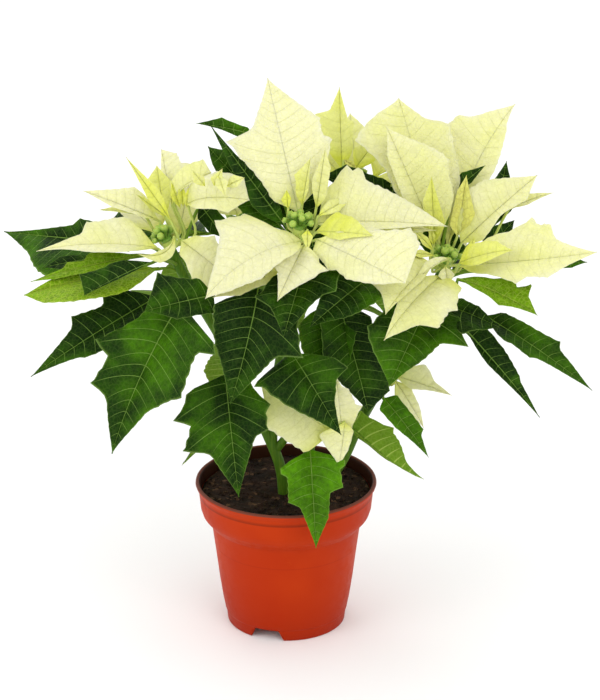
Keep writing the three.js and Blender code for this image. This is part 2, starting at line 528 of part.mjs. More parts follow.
function nearestOnStem(stem, point) {
  let best = null;
  for (const points of stem.paths) {
    const path = new THREE.CatmullRomCurve3(points.map(V));
    for (let i = 6; i <= 36; i += 1) {
      const p = path.getPoint(i / 40);
      const far = p.distanceTo(point);
      if (!best || far < best.far) best = { p, far };
    }
  }
  return best.p;
}

// A leaf's stalk bows up out of its stem, or bends at the leaf's own elbow.
function leafElbow(leaf, root) {
  if (leaf.elbow) return V(leaf.elbow);
  const base = V(leaf.from);
  const elbow = root.clone().lerp(base, 0.55);
  elbow.z += 0.08 * root.distanceTo(base);
  return elbow;
}

function leafyStem(stem) {
  const pieces = stemBars(stem);
  for (const leaf of Object.values(stem.leaves)) {
    const below = V(leaf.from);
    below.z -= 10;
    const root = nearestOnStem(stem, below);
    pieces.push(leafOnStalk(leaf, root, leafElbow(leaf, root)));
  }
  return toGeometry(join(pieces));
}

// Where a head stands: the end of its stem, and the way that end points.
function headPlace(head) {
  const points = STEMS[head.stem].paths[head.path];
  const end = V(points[points.length - 1]);
  const axis = end.clone().sub(V(points[points.length - 2])).normalize();
  return { end, axis };
}

function along(place, height) {
  return place.end.clone().addScaledVector(place.axis, height);
}

// A bract's stalk leaves the hub low down, and its blade starts clear of the cyathia.
function bractOnStalk(head, bract) {
  const place = headPlace(head);
  const heart = along(place, GAP + 0.4 * HUB_HEIGHT);
  const out = V(bract.from).sub(heart);
  const rise = out.dot(place.axis);
  out.addScaledVector(place.axis, -rise);
  out.setLength(Math.max(out.length(), head.spread + BASE_CLEARANCE));
  const from = heart.clone().add(out).addScaledVector(place.axis, rise);
  const elbow = heart.clone().addScaledVector(out, 0.8).addScaledVector(place.axis, Math.min(0, 0.5 * rise));
  return leafOnStalk({ ...bract, from: from.toArray() }, heart, elbow);
}

function rosette(head) {
  const place = headPlace(head);
  const hub = bar([along(place, GAP), along(place, GAP + HUB_HEIGHT)], HUB_RADIUS, 6, 1);
  return toGeometry(join([hub, ...Object.values(head.bracts).map((bract) => bractOnStalk(head, bract))]));
}

// Green buds on short stalks, one in the middle and the rest in two rings, on a small common seat.
function cyathia(head, seed) {
  const place = headPlace(head);
  const random = seededRandom(seed);
  const turn = new THREE.Quaternion().setFromUnitVectors(UP, place.axis);
  const seat = along(place, HUB_HEIGHT + 2 * GAP);
  const pieces = [bar([seat, along(place, HUB_HEIGHT + 2 * GAP + SEAT_HEIGHT)], HUB_RADIUS - 0.5, 6, 1)];
  for (let i = 0; i < head.buds; i += 1) {
    const outer = i % 2 === 1;
    const reach = i === 0 ? 0 : head.spread * (outer ? 1 : 0.5);
    const round = (2 * Math.PI * i) / Math.max(1, head.buds - 1) + 0.3 * random();
    const height = (outer ? 5 : 8) + 1.5 * random();
    const size = BUD_RADIUS * (0.85 + 0.3 * random());
    const lean = Math.atan2(reach, height);
    const stalk = Math.hypot(reach, height);
    const profile = [
      [0, STALK_START], [0.9, STALK_START], [0.9, stalk - size], [size, stalk], [0.8 * size, stalk + 0.8 * size],
      [0, stalk + 1.2 * size],
    ].map(([r, z]) => new THREE.Vector2(r, z));
    const bud = new THREE.LatheGeometry(profile, 5).rotateX(Math.PI / 2).rotateY(lean).rotateZ(round);
    pieces.push(bud.applyQuaternion(turn).translate(seat.x, seat.y, seat.z));
  }
  return toGeometry(join(pieces));
}

// ---- the object ----

const poinsettia = new THREE.Group();

function addPart(name, geometry, material) {
  const mesh = new THREE.Mesh(geometry, material);
  mesh.name = name;
  poinsettia.add(mesh);
}

addPart('pot', potGeometry(), POT_PLASTIC);
addPart('soil', soilGeometry(), SOIL);
for (const [name, stem] of Object.entries(STEMS)) addPart(`leafy_stem_${name}`, leafyStem(stem), GREEN_LEAF);
Object.entries(HEADS).forEach(([name, head], i) => {
  addPart(`bracts_${name}`, rosette(head), CREAM_BRACT);
  addPart(`cyathia_${name}`, cyathia(head, 11 + i), GREEN_BUD);
});

export default poinsettia;
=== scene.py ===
# A white poinsettia in its orange plastic nursery pot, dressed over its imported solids.
# Metres, +Z up. The origin is the middle of the pot's foot, on the surface it stands on.

import math
import random

import bmesh
import bpy
from mathutils import Matrix, Vector, noise


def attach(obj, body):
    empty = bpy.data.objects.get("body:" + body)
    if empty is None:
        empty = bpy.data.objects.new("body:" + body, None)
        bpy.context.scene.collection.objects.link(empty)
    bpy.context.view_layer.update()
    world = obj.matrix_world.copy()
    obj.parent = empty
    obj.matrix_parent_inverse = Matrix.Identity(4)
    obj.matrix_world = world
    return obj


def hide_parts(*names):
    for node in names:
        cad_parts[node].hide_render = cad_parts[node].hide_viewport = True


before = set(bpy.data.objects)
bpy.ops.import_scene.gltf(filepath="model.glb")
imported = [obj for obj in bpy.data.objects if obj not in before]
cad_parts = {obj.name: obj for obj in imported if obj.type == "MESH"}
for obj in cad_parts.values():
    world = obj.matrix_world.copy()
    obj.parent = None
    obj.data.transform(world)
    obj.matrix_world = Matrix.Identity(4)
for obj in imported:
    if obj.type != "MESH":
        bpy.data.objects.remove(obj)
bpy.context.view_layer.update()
MM = 0.001

# ---- camera ----
# A long lens a little above the plant, looking down at it from the side of its front flower head.

aim = Vector((0.010, 0, 0.207))
camera_distance = 2.0
camera_down = math.radians(21.4)
camera = bpy.data.objects.new("camera", bpy.data.cameras.new("camera"))
camera.data.lens = 146.3
camera.data.sensor_width = 36
camera.location = aim + camera_distance * Vector((0, -math.cos(camera_down), math.sin(camera_down)))
camera.rotation_euler = (math.pi / 2 - camera_down, 0, 0)
bpy.context.scene.collection.objects.link(camera)
bpy.context.scene.camera = camera
bpy.context.scene.view_settings.view_transform = "Standard"

# ---- pot ----
# A 13 cm nursery pot, moulded in thin orange polypropylene. The wall steps out to a wide collar
# with a rolled lip, and two drainage notches are cut through the foot ring it stands on.

POT_STEPS = 144
NOTCH_TURNS = (-109, 71)
NOTCH_SIZE = (14 * MM, 17.5 * MM, 18 * MM)
NOTCH_FLARE = 1.9
NOTCH_MIDDLE = (43.4 * MM, 0, -1 * MM)
RIM_INSIDE = (61.9 * MM, 62.7 * MM)
POT_PROFILE = [
    (0, 8.6), (36, 8.6), (39.0, 8.3), (39.3, 7.6), (39.2, 0.5), (39.5, 0), (42.1, 0), (42.5, 0.4),
    (43.3, 7.6), (43.5, 8.3), (43.9, 8.7), (44.2, 9.6), (45.9, 18.8), (48.0, 32.7), (49.7, 46.6),
    (51.0, 57.0), (53.4, 75.0), (53.7, 76.2), (54.3, 77.0), (58.9, 82.2), (59.7, 83.4), (61.2, 88.0),
    (61.9, 95.0), (62.5, 100.5), (62.9, 102.4), (63.6, 104.0), (64.4, 105.2), (64.8, 106.3), (64.5, 107.4),
    (63.8, 108.0), (62.9, 107.9), (62.1, 107.3), (61.6, 106.0), (61.3, 103.0), (59.5, 88.2), (57.9, 84.4),
    (52.6, 78.4), (51.6, 76.2), (42.3, 11.4), (41.4, 10.8), (0, 10.8),
]


def spin_round(bm, profile, steps):
    """Adds a profile of (radius, height) in millimetres, spun about Z."""
    verts = [bm.verts.new((r * MM, 0, z * MM)) for r, z in profile]
    edges = [bm.edges.new(pair) for pair in zip(verts, verts[1:])]
    bmesh.ops.spin(bm, geom=verts + edges, axis=(0, 0, 1), cent=(0, 0, 0), angle=math.tau,
                   steps=steps, use_merge=True)


def turned(profile, steps):
    """A closed round solid from such a profile."""
    bm = bmesh.new()
    spin_round(bm, profile, steps)
    bmesh.ops.remove_doubles(bm, verts=bm.verts, dist=1e-6)
    bmesh.ops.recalc_face_normals(bm, faces=bm.faces)
    return bm


def piece_from(bm, name, materials, smooth_angle=50):
    """An object at the origin from a bmesh, smooth but for edges sharper than smooth_angle degrees."""
    sharp = math.radians(smooth_angle)
    for edge in bm.edges:
        if len(edge.link_faces) == 2 and edge.calc_face_angle(0) > sharp:
            edge.smooth = False
    for face in bm.faces:
        face.smooth = True
    mesh = bpy.data.meshes.new(name)
    bm.to_mesh(mesh)
    bm.free()
    for material in materials:
        mesh.materials.append(material)
    piece = bpy.data.objects.new(name, mesh)
    bpy.context.scene.collection.objects.link(piece)
    return piece


def new_material(name):
    """An empty node material: its tree and its Principled shader."""
    material = bpy.data.materials.new(name)
    material.use_nodes = True
    tree = material.node_tree
    return material, tree, tree.nodes["Principled BSDF"]


def feed(tree, node, links):
    """Feeds a node's inputs from (input, source) pairs, where a source is a socket or a value."""
    for key, source in links:
        if isinstance(source, bpy.types.NodeSocket):
            tree.links.new(source, node.inputs[key])
        else:
            node.inputs[key].default_value = source


def add(tree, kind, links=(), **settings):
    node = tree.nodes.new(kind)
    for key, value in settings.items():
        setattr(node, key, value)
    feed(tree, node, links)
    return node


def maths(tree, operation, a, b=0.0, clamp=False):
    return add(tree, "ShaderNodeMath", [(0, a), (1, b)], operation=operation, use_clamp=clamp).outputs[0]


def times(tree, a, b):
    return maths(tree, "MULTIPLY", a, b)


def ramp_between(tree, value, low, high, to_low=0.0, to_high=1.0):
    """value from low..high to to_low..to_high, smooth at both ends and held beyond them."""
    node = add(tree, "ShaderNodeMapRange", [(0, value), (1, low), (2, high), (3, to_low), (4, to_high)],
               interpolation_type="SMOOTHSTEP")
    return node.outputs[0]


def mixed(tree, share, first, second, blend="MIX"):
    ends = [(key, (*end, 1) if isinstance(end, tuple) else end) for key, end in ((6, first), (7, second))]
    node = add(tree, "ShaderNodeMix", [(0, share), *ends], data_type="RGBA", blend_type=blend)
    return node.outputs[2]


def noise_at(tree, where, scale, detail=3.0, roughness=0.55):
    return add(tree, "ShaderNodeTexNoise", [("Vector", where), ("Scale", scale), ("Detail", detail),
                                            ("Roughness", roughness)]).outputs["Fac"]


def object_place(tree):
    return add(tree, "ShaderNodeTexCoord").outputs["Object"]


def raised(tree, shader, strength, depth, height):
    """Bump on the shader's normal, depth in metres."""
    bump = add(tree, "ShaderNodeBump", [("Strength", strength), ("Distance", depth), ("Height", height)])
    feed(tree, shader, [("Normal", bump.outputs[0])])


pot_mesh = turned(POT_PROFILE, POT_STEPS)
pot = piece_from(pot_mesh, "nursery_pot", [])
notch_mesh = bmesh.new()
for turn in NOTCH_TURNS:
    notch = bmesh.ops.create_cube(notch_mesh, size=1.0)["verts"]
    bmesh.ops.scale(notch_mesh, vec=NOTCH_SIZE, verts=notch)
    for corner in notch:
        if corner.co.z < 0:
            corner.co.y *= NOTCH_FLARE
    bmesh.ops.translate(notch_mesh, vec=NOTCH_MIDDLE, verts=notch)
    matrix = Matrix.Rotation(math.radians(turn), 3, "Z")
    bmesh.ops.rotate(notch_mesh, cent=(0, 0, 0), matrix=matrix, verts=notch)
notches = piece_from(notch_mesh, "notches", [])
cut_out = pot.modifiers.new("notches", "BOOLEAN")
cut_out.object = notches
cut_out.operation = "DIFFERENCE"
bpy.context.view_layer.update()
pot.data = bpy.data.meshes.new_from_object(pot.evaluated_get(bpy.context.evaluated_depsgraph_get()))
pot.modifiers.clear()
bpy.data.objects.remove(notches)

orange_plastic, tree, shader = new_material("orange_plastic")
place = object_place(tree)
across, deep, height = add(tree, "ShaderNodeSeparateXYZ", [(0, place)]).outputs
clouds = noise_at(tree, place, 18.0, 2.0)
scuffs = noise_at(tree, place, 160.0, 5.0, 0.7)
orange = mixed(tree, ramp_between(tree, clouds, 0.35, 0.65), (0.42, 0.027, 0.001), (0.46, 0.034, 0.0015))
orange = mixed(tree, ramp_between(tree, scuffs, 0.62, 0.80, 0, 0.35), orange, (0.52, 0.065, 0.010))
shaded_foot = ramp_between(tree, height, 0.0, 60 * MM, 0.7, 0.0)
orange = mixed(tree, shaded_foot, orange, (0.33, 0.016, 0.0006))
lip = ramp_between(tree, height, 106.2 * MM, 107.0 * MM)
orange = mixed(tree, lip, orange, (0.16, 0.045, 0.028))
# The wall inside the rim, above the soil, goes dark brown: real soil dust and painted shade.
squares = maths(tree, "ADD", times(tree, across, across), times(tree, deep, deep))
inside = ramp_between(tree, maths(tree, "SQRT", squares), *RIM_INSIDE, 1.0, 0.0)
dust_and_shade = times(tree, inside, ramp_between(tree, height, 98 * MM, 99 * MM))
orange = mixed(tree, dust_and_shade, orange, (0.035, 0.010, 0.004))
seam = maths(tree, "SUBTRACT", ramp_between(tree, height, 60.0 * MM, 60.5 * MM),
             ramp_between(tree, height, 60.7 * MM, 61.4 * MM))
orange = mixed(tree, times(tree, seam, 0.35), orange, (0.30, 0.018, 0.004))
feed(tree, shader, [("Base Color", orange), ("Roughness", ramp_between(tree, scuffs, 0.3, 0.75, 0.40, 0.58)),
                    ("Specular IOR Level", 0.08)])
stretched = add(tree, "ShaderNodeMapping", [("Vector", place), ("Scale", (6, 6, 900))]).outputs[0]
lines = noise_at(tree, stretched, 1.0, 2.0)
relief = maths(tree, "ADD", times(tree, lines, 0.5), times(tree, scuffs, 0.35))
raised(tree, shader, 0.25, 0.0004, relief)
pot.data.materials.append(orange_plastic)
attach(pot, "root")
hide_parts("pot")

# ---- soil ----
# Dark peat compost, pressed in by hand to just under the rim. Its top is rough with crumbs and fibres,
# and it rises a little round the stems.

SOIL_PROFILE = [(0, 12), (40, 12), (51.2, 76.6), (56.9, 84.7), (58.9, 89), (60.2, 99.0)]
SOIL_STEPS = 120
SURFACE_RADIUS, SURFACE_HEIGHT, SURFACE_RINGS = 60.0, 100.4, 34
LUMPS = ((22, 1.3), (7, 0.9), (2.6, 0.7))
CRUMBS, CRUMB_REACH, CRUMB_HEIGHT = 1100, 58.5, 101.0
crumb_random = random.Random(4)

peat, tree, shader = new_material("peat")
place = object_place(tree)
grains = noise_at(tree, place, 420.0, 6.0, 0.7)
clods = noise_at(tree, place, 70.0, 3.0)
dark = mixed(tree, ramp_between(tree, clods, 0.35, 0.65), (0.010, 0.0048, 0.0022), (0.028, 0.012, 0.006))
dark = mixed(tree, ramp_between(tree, grains, 0.52, 0.72, 0, 0.8), dark, (0.07, 0.034, 0.016))
fleck = add(tree, "ShaderNodeTexVoronoi", [("Vector", place), ("Scale", 320.0)]).outputs["Color"]
fleck = add(tree, "ShaderNodeSeparateColor", [(0, fleck)]).outputs[0]
dark = mixed(tree, ramp_between(tree, fleck, 0.90, 0.96, 0, 0.55), dark, (0.17, 0.09, 0.045))
feed(tree, shader, [("Base Color", dark), ("Roughness", 0.95), ("Specular IOR Level", 0.2)])
raised(tree, shader, 0.9, 0.0012, grains)

rings = [(SURFACE_RADIUS * (1 - k / SURFACE_RINGS), SURFACE_HEIGHT) for k in range(1, SURFACE_RINGS + 1)]
soil_mesh = turned(SOIL_PROFILE + rings, SOIL_STEPS)
for vert in soil_mesh.verts:
    radius = vert.co.xy.length / MM
    if vert.co.z > 99 * MM:
        lump = 0.0
        for size, deep in LUMPS:
            lump += deep * noise.noise(vert.co / (size * MM))
        vert.co.z += (lump + 1.2 * (1 - radius / SURFACE_RADIUS)) * MM
for i in range(CRUMBS):
    round_about = crumb_random.uniform(0, math.tau)
    out = CRUMB_REACH * math.sqrt(crumb_random.random()) * MM
    crumb = bmesh.ops.create_icosphere(soil_mesh, subdivisions=1, radius=1.0)["verts"]
    size = MM * crumb_random.uniform(0.5, 1.1) ** 2
    stretch = crumb_random.choice((1, 1, 1.3, 2.2))
    bmesh.ops.scale(soil_mesh, vec=(size * stretch, size, size * 0.7), verts=crumb)
    turn = Matrix.Rotation(crumb_random.uniform(0, math.tau), 3, "Z")
    turn @= Matrix.Rotation(crumb_random.uniform(-0.6, 0.6), 3, "Y")
    bmesh.ops.rotate(soil_mesh, cent=(0, 0, 0), matrix=turn, verts=crumb)
    spot = Vector((out * math.cos(round_about), out * math.sin(round_about), CRUMB_HEIGHT * MM))
    bmesh.ops.translate(soil_mesh, vec=spot, verts=crumb)
soil = piece_from(soil_mesh, "peat_soil", [peat], 80)
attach(soil, "root")
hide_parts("soil")

# ---- leafy stems ----
# Three rooted cuttings with green stems. Each leaf is a thin toothed blade, creased along a pale rib,
# on a slim green stalk that grows from the stem. Side veins run from the rib to the teeth.

# Rows of the table: start, where the stalk meets the blade, and tip, in millimetres; faces, the way its
# upper face looks; and the teeth on its right and left edge. A tooth is its share of the length, the half
# width there over the length, and the share of that width kept behind it, all in hundredths, and the last
# is 100 where it isn't given. arch and sway bow the rib, fold is half the crease in radians, elbow is where
# the stalk bends, and tint is the age of the colour: 0 for dark or cream, 1 for young green, and on to 2
# for yellowed or browned.
SHAPE = {"arch": 0.05, "sway": 0, "fold": 0.35, "stalk": True}


def cut(start, tip, faces, right, left, **shape):
    right, left = ([[part / 100 for part in (*tooth, 100)[:3]] for tooth in edge] for edge in (right, left))
    return {**SHAPE, "start": start, "tip": tip, "faces": faces, "right": right, "left": left, **shape}


def lance(start, tip, faces, right, left, **shape):
    return cut(start, tip, faces, [right], [left], **shape)


def plain(start, tip, faces, width, **shape):
    return lance(start, tip, faces, (42, width), (42, width), **shape)


def usual(start, tip, faces, width, **shape):
    return cut(start, tip, faces, [(38, width, 70), (66, 0.62 * width)],
               [(33, width, 70), (62, 0.66 * width)], **shape)


LEFT_LEAVES = dict(
    lower_left_large=cut((-71, -58, 264), (-117, -98, 170), (-25, -75, 60),
        [(17, 17), (43, 36, 62), (64, 27, 65)], [(20, 50, 67), (52, 38, 84), (66, 18)], sway=0.03, tint=0.3),
    far_left_low=cut((-88, -16, 253), (-175, -48, 206), (-30, -75, 55), [(31, 22, 60), (55, 18, 70)],
        [(36, 20), (62, 14, 85)]),
    under_left_head=cut((-48, -67, 273), (-94, -85, 268), (-20, -85, 50), [(22, 27), (69, 48)],
        [(12, 30), (61, 26)], elbow=(-60, -38, 252)),
    under_front_head=cut((-18, -68, 278), (-37, -95, 205), (-5, -80, 60), [(24, 36), (54, 27)],
        [(22, 44), (47, 55, 60)], sway=-0.03, tint=0),
    front_low_left=cut((-41, -56, 211), (-32, -78, 129), (-10, -85, 50),
        [(14, 34), (33, 48, 68), (56, 43, 53)], [(7, 21), (28, 39, 87), (46, 34, 70)], tint=0.18),
    low_left_pale=plain((-44, -28, 158), (-73, -36, 134), (-30, 30, 100), 25),
    front_top=cut((13, -57, 289), (-1, -108, 258), (0, -60, 80), [(48, 36), (64, 46, 61)],
        [(12, 46), (38, 48, 76)], tint=0.1),
    front_middle=cut((4, -62, 230), (38, -82, 177), (10, -80, 60), [(14, 62, 90), (57, 30)],
        [(44, 42, 63), (64, 12)], tint=0.05),
    front_lowest=cut((17, -47, 151), (21, -88, 95), (5, -85, 50), [(27, 36, 75), (55, 28, 60)],
        [(22, 38, 80), (42.5, 33, 55), (70, 15)], tint=0.7),
    far_left_high=cut((-108, 20, 280), (-204, 84, 266), (-10, -70, 60), [(43, 13, 69)],
        [(48, 33), (70, 16)], arch=-0.02, tint=0.2),
    left_olive_upper=cut((-98, -24, 286), (-174, -36, 271), (-10, -60, 80), [(46, 11, 41), (64, 8, 50)],
        [(30, 7), (51, 10), (76, 7)], tint=1.5),
    left_dark=cut((-90, -40, 287), (-135, -68, 273), (-10, -60, 80), [(52, 20), (90, 26)], [(53, 5)], tint=0),
    left_olive_lower=cut((-87, -14, 273), (-178, -46, 265), (-10, -50, 100), [(36, 8), (65, 10)],
        [(42, 34), (70, 34), (89, 22)], tint=1.7),
    behind_front_a=cut((-23, 1, 365), (-61, 3, 372), (0, -80, 60), [(12, 10), (56, 17)],
        [(6, 16), (52, 6)], arch=0.08, elbow=(-8, -4, 340), tint=0.4),
    behind_front_b=cut((1, -30, 308), (-51, -10, 375), (-20, -80, 50), [(34, 10), (66, 3)],
        [(31, 12), (77, 4)], elbow=(4, -38, 300), tint=0.2),
    left_back_low=usual((-66, 14, 240), (-128, 62, 206), (-40, 50, 80), 40),
    left_back_high=cut((-84, 20, 285), (-134, 62, 276), (-10, -50, 80), [(44, 20, 85), (76, 22, 80)],
        [(38, 20, 80), (66, 20, 80)]),
    crinkled=cut((-1, -27, 305), (-53, 2, 356), (-20, -80, 50), [(38, 10), (79, 14)],
        [(34, 18), (76, 10), (90, 5)], elbow=(4, -36, 298), tint=0.4),
    behind_front_c=cut((9, -24, 297), (11, 2, 348), (0, -80, 50), [(24, 29), (55, 38)],
        [(18, 21), (44, 31)], tint=0.15),
    under_tip_dark=lance((-115, 0, 277), (-169, 10, 265), (-10, -60, 70), (75, 9), (74, 11), tint=0),
    heart_shade=cut((14, -36, 311), (28, -40, 272), (0, -80, 50), [(23, 27), (55, 25)], [(18, 34), (67, 32)]),
    gap_shade=cut((-59, 0, 315), (-42, -6, 292), (0, -80, 50), [(28, 28), (68, 24)], [(22, 26), (63, 30)]),
)
RIGHT_LEAVES = dict(
    inner_dark=cut((36, -34, 258), (28, -50, 204), (0, -85, 50), [(40, 46), (73, 32)],
        [(26, 31), (68, 28)], tint=0.2),
    right_dark_long=cut((37, -40, 256), (57, -56, 183), (10, -85, 50), [(12, 25), (46, 34)],
        [(20, 25), (60, 28), (83, 24)], tint=0),
    right_front_dark=cut((59, -50, 281), (16, -92, 259), (0, -70, 70), [(32, 24), (62, 19)],
        [(29, 35), (67, 22)], tint=0.2),
    right_front_large=cut((98, -50, 261), (70, -92, 217), (0, -75, 65), [(32, 40), (56, 48), (76, 30)],
        [(10, 40), (38, 62, 54), (74, 14)], tint=0.3),
    right_front_small=cut((109, -46, 258), (145, -66, 249), (20, -60, 75), [(62, 60)], [(24, 20), (52, 18)]),
    far_right_low=cut((138, -26, 242), (209, -68, 204), (25, -60, 75),
        [(29, 17, 82), (49, 15, 73), (67, 8)], [(12, 11), (34, 12), (57, 16, 70)], tint=0.25),
    right_narrow=cut((124, -34, 235), (175, -56, 179), (30, -80, 40), [(36, 8)],
        [(8, 15), (34, 14), (60, 9, 80)]),
    right_low_bright=cut((68, -38, 186), (99, -56, 149), (10, -60, 80), [(13, 22), (42, 18)],
        [(10, 17), (30, 17), (64, 16, 69)], tint=0.75),
    right_low_olive=cut((42, -22, 163), (97, -37, 124), (45, 75, 45), [(5, 25), (42, 37, 84), (73, 10)],
        [(22, 17)], arch=-0.08),
    right_up_a=plain((144, 16, 292), (155, 45, 332), (20, -60, 80), 25),
    right_up_b=plain((138, 4, 276), (160, 22, 296), (20, -50, 80), 35),
    far_right_thin=lance((138, -6, 268), (207, -24, 281), (0, -70, 70), (84, 7), (84, 7)),
    right_pale_veined=cut((117, -46, 277), (170, -69, 259), (20, -60, 80), [(32, 10), (57, 19)],
        [(31, 12), (58, 27, 54), (74, 30, 54)], fold=0.25, sway=-0.04, elbow=(115, -36, 262), tint=1.45),
    right_back_high=usual((118, 26, 256), (172, 74, 238), (30, 40, 100), 38),
    right_back_low=usual((92, 26, 222), (140, 74, 186), (40, 50, 70), 42),
    dark_gap=lance((115, 4, 322), (138, 10, 340), (0, -80, 50), (49, 13), (46, 22)),
    dark_heart=lance((110, 0, 271), (107, 10, 311), (0, -80, 50), (30, 40), (46, 45), tint=0.1),
)
BACK_LEAVES = dict(
    back_left_large=usual((-46, 70, 256), (-88, 106, 190), (-40, 70, 50), 44),
    back_middle_large=usual((-4, 62, 240), (-12, 107, 160), (0, 85, 50), 42),
    back_right_large=usual((56, 74, 262), (78, 106, 186), (30, 80, 50), 42),
    back_low_left=usual((-16, 54, 194), (-52, 94, 128), (-40, 70, 50), 42),
    back_low_right=usual((36, 60, 190), (58, 96, 124), (40, 70, 50), 40),
    back_right_high=usual((68, 76, 280), (126, 106, 244), (40, 50, 70), 38),
    back_gap=usual((20, 70, 276), (16, 106, 254), (0, 60, 80), 40),
    back_left_high=usual((-56, 64, 272), (-116, 96, 246), (-40, 40, 80), 36),
    gap_leaf=cut((85, 14, 310), (24, 20, 329), (0, -80, 50), [(36, 18), (75, 20)], [(49, 15)]),
)
STEMS = {
    "left": dict(leaves=LEFT_LEAVES, shoots=[
        [(-1, -8, 90), (-4, -11, 122), (-14, -12, 150), (-42, -13, 215), (-68, -12, 262), (-79, -11, 286)],
        [(-9, -11, 138), (-8, -18, 180), (0, -30, 240), (6, -39, 286), (8.5, -42, 306)],
        [(-8, -11, 134), (4, -17, 152), (16, -23, 164), (26, -28, 170)],
    ]),
    "right": dict(leaves=RIGHT_LEAVES, shoots=[
        [(28, -2, 90), (33, -4, 110), (43, -6, 131), (51, -4, 150), (80, -8, 215), (102, -15, 256),
            (108, -19, 274)],
        [(46, -6, 138), (58, 2, 160), (66, 8, 171), (72, 11, 177)],
    ]),
    "back": dict(leaves=BACK_LEAVES, shoots=[
        [(14, 22, 90), (18, 30, 130), (24, 38, 170), (38, 50, 240), (47, 57, 290), (49.5, 59, 304)],
        [(17, 29, 124), (3, 38, 170), (-16, 48, 225), (-28, 56, 262), (-31, 58, 278)],
    ]),
}
LEAF_TINT = 0.1
LEAF_THICKNESS = 0.45
BLADE_GRID = (16, 40)
CURL, WAVE, PILLOW, SCALLOP = 0.5, 1.2, 1.1, 0.04
SCOOP, LEAST_FOOT, LEAST_TIP = 0.055, 0.012, 0.004
RIB_BENDS, FULL_WAVE = (0.3, 0.72), 18
VEIN_GAP, VEIN_SLANT, VEIN_CURVE = 6.5, 0.42, 1.5
FEWEST_VEINS, MOST_VEINS = 4, 14
STALK_SIDES, STEM_SIDES = 8, 16
STEM_RADIUS, SHOOT_RADIUS, STEM_STEPS, STEM_TAPER = 4.0, 3.0, 30, 0.12
STALK_STEPS, LEAF_STALK, BRACT_STALK = 9, 1.15, 0.95
# A leaf's stalk leaves its stem at the nearest of these steps to a place this far below the blade's start.
TRACK_STEPS, TRACK, ROOT_BELOW = 40, slice(6, 37), 10
ELBOW_ALONG, ELBOW_LIFT = 0.55, 0.08


def edge_width(teeth, share):
    """Half width over length along one edge: a rise to the first tooth, then a scoop behind each."""
    first, widest, _ = teeth[0]
    if share <= first:
        return max(LEAST_FOOT, widest * math.sin(math.pi / 2 * (share / first) ** 1.2))
    for (at, wide, kept), after in zip(teeth, teeth[1:] + [None]):
        low = wide * kept
        scoop = (wide - low) * max(0.0, 1 - (share - at) / SCOOP) ** 2
        if after is None:
            return max(LEAST_TIP, low * (1 - (share - at) / (1 - at)) ** 1.2 + scoop)
        if share <= after[0]:
            return low + (after[1] - low) * ((share - at) / (after[0] - at)) ** 1.4 + scoop
    return LEAST_TIP


def edge_shares(teeth, pairs):
    """Where each side vein meets the edge: knots (share at the rib, share at the edge)."""
    knots = [(0.0, 0.0)]
    for at, wide, _ in teeth:
        step = max(round((at - VEIN_SLANT * wide) * pairs), round(knots[-1][0] * pairs) + 1)
        knots.append((min(step / pairs, 1 - 0.5 / pairs), at))
    return knots + [(1.0, 1.0)]


def between(knots, share):
    for (a, low), (b, high) in zip(knots, knots[1:]):
        if share <= b:
            return low + (high - low) * (share - a) / (b - a)
    return knots[-1][1]


class Blade:
    """A leaf's surface: a Bezier rib from its stalk to its tip, and two toothed halves folded up from it."""

    def __init__(self, leaf, chance):
        self.leaf = leaf
        self.base, self.tip = Vector(leaf["start"]) * MM, Vector(leaf["tip"]) * MM
        chord = self.tip - self.base
        self.length = chord.length
        ahead = chord.normalized()
        faces = Vector(leaf["faces"]) / 100
        self.up = (faces - ahead * faces.dot(ahead)).normalized()
        self.right = ahead.cross(self.up)
        rise = self.up * leaf["arch"] * self.length + self.right * leaf["sway"] * self.length
        self.rib = [self.base, *(self.base + share * chord + rise for share in RIB_BENDS), self.tip]
        self.pairs = max(FEWEST_VEINS, min(MOST_VEINS, round(self.length / (VEIN_GAP * MM))))
        self.shares = {-1: edge_shares(leaf["left"], self.pairs), 1: edge_shares(leaf["right"], self.pairs)}
        self.phase = {-1: chance.uniform(0, math.tau), 1: chance.uniform(0, math.tau)}
        self.beat = {-1: chance.uniform(1.3, 2.4), 1: chance.uniform(1.3, 2.4)}

    def frame(self, share):
        """The rib's point, the surface's normal there, and the way to the right edge."""
        a, b, c, d = self.rib
        rest = 1 - share
        centre = a * rest ** 3 + b * 3 * share * rest ** 2 + c * 3 * share ** 2 * rest + d * share ** 3
        tangent = (b - a) * rest ** 2 + (c - b) * 2 * share * rest + (d - c) * share ** 2
        tangent.normalize()
        normal = (self.up - tangent * self.up.dot(tangent)).normalized()
        return centre, normal, tangent.cross(normal)

    def half_width(self, way, along):
        edge = between(self.shares[way], along)
        teeth = self.leaf["left"] if way < 0 else self.leaf["right"]
        scallop = 1 - SCALLOP * math.sin(math.pi * along * self.pairs) ** 2
        return edge, edge_width(teeth, edge) * self.length * scallop

    def point(self, across, along):
        """The upper face at across (-1 left edge, 0 rib, 1 right edge) and along (0 stalk, 1 tip)."""
        way = -1 if across < 0 else 1
        t = abs(across)
        edge, wide = self.half_width(way, along)
        share = along + (edge - along) * t ** VEIN_CURVE
        centre, normal, side = self.frame(share)
        start = self.leaf["fold"] + 0.5 * CURL
        out = (math.sin(start) - math.sin(start - CURL * t)) / CURL * wide
        rise = (math.cos(start - CURL * t) - math.cos(start)) / CURL * wide
        wave = math.sin(math.tau * self.beat[way] * along + self.phase[way])
        wave *= WAVE * min(1, wide / (FULL_WAVE * MM)) * t * t
        pillow = PILLOW * math.sin(math.pi * along * self.pairs) ** 2 * math.sqrt(t) * (1 - t)
        return centre + side * way * out + normal * (rise + (wave + pillow) * MM), normal, wide


def marks_of(bm):
    """The vertex colour that its material reads: tint, place along, shade, and half width in decimetres."""
    return bm.verts.layers.float_color.get("blade") or bm.verts.layers.float_color.new("blade")


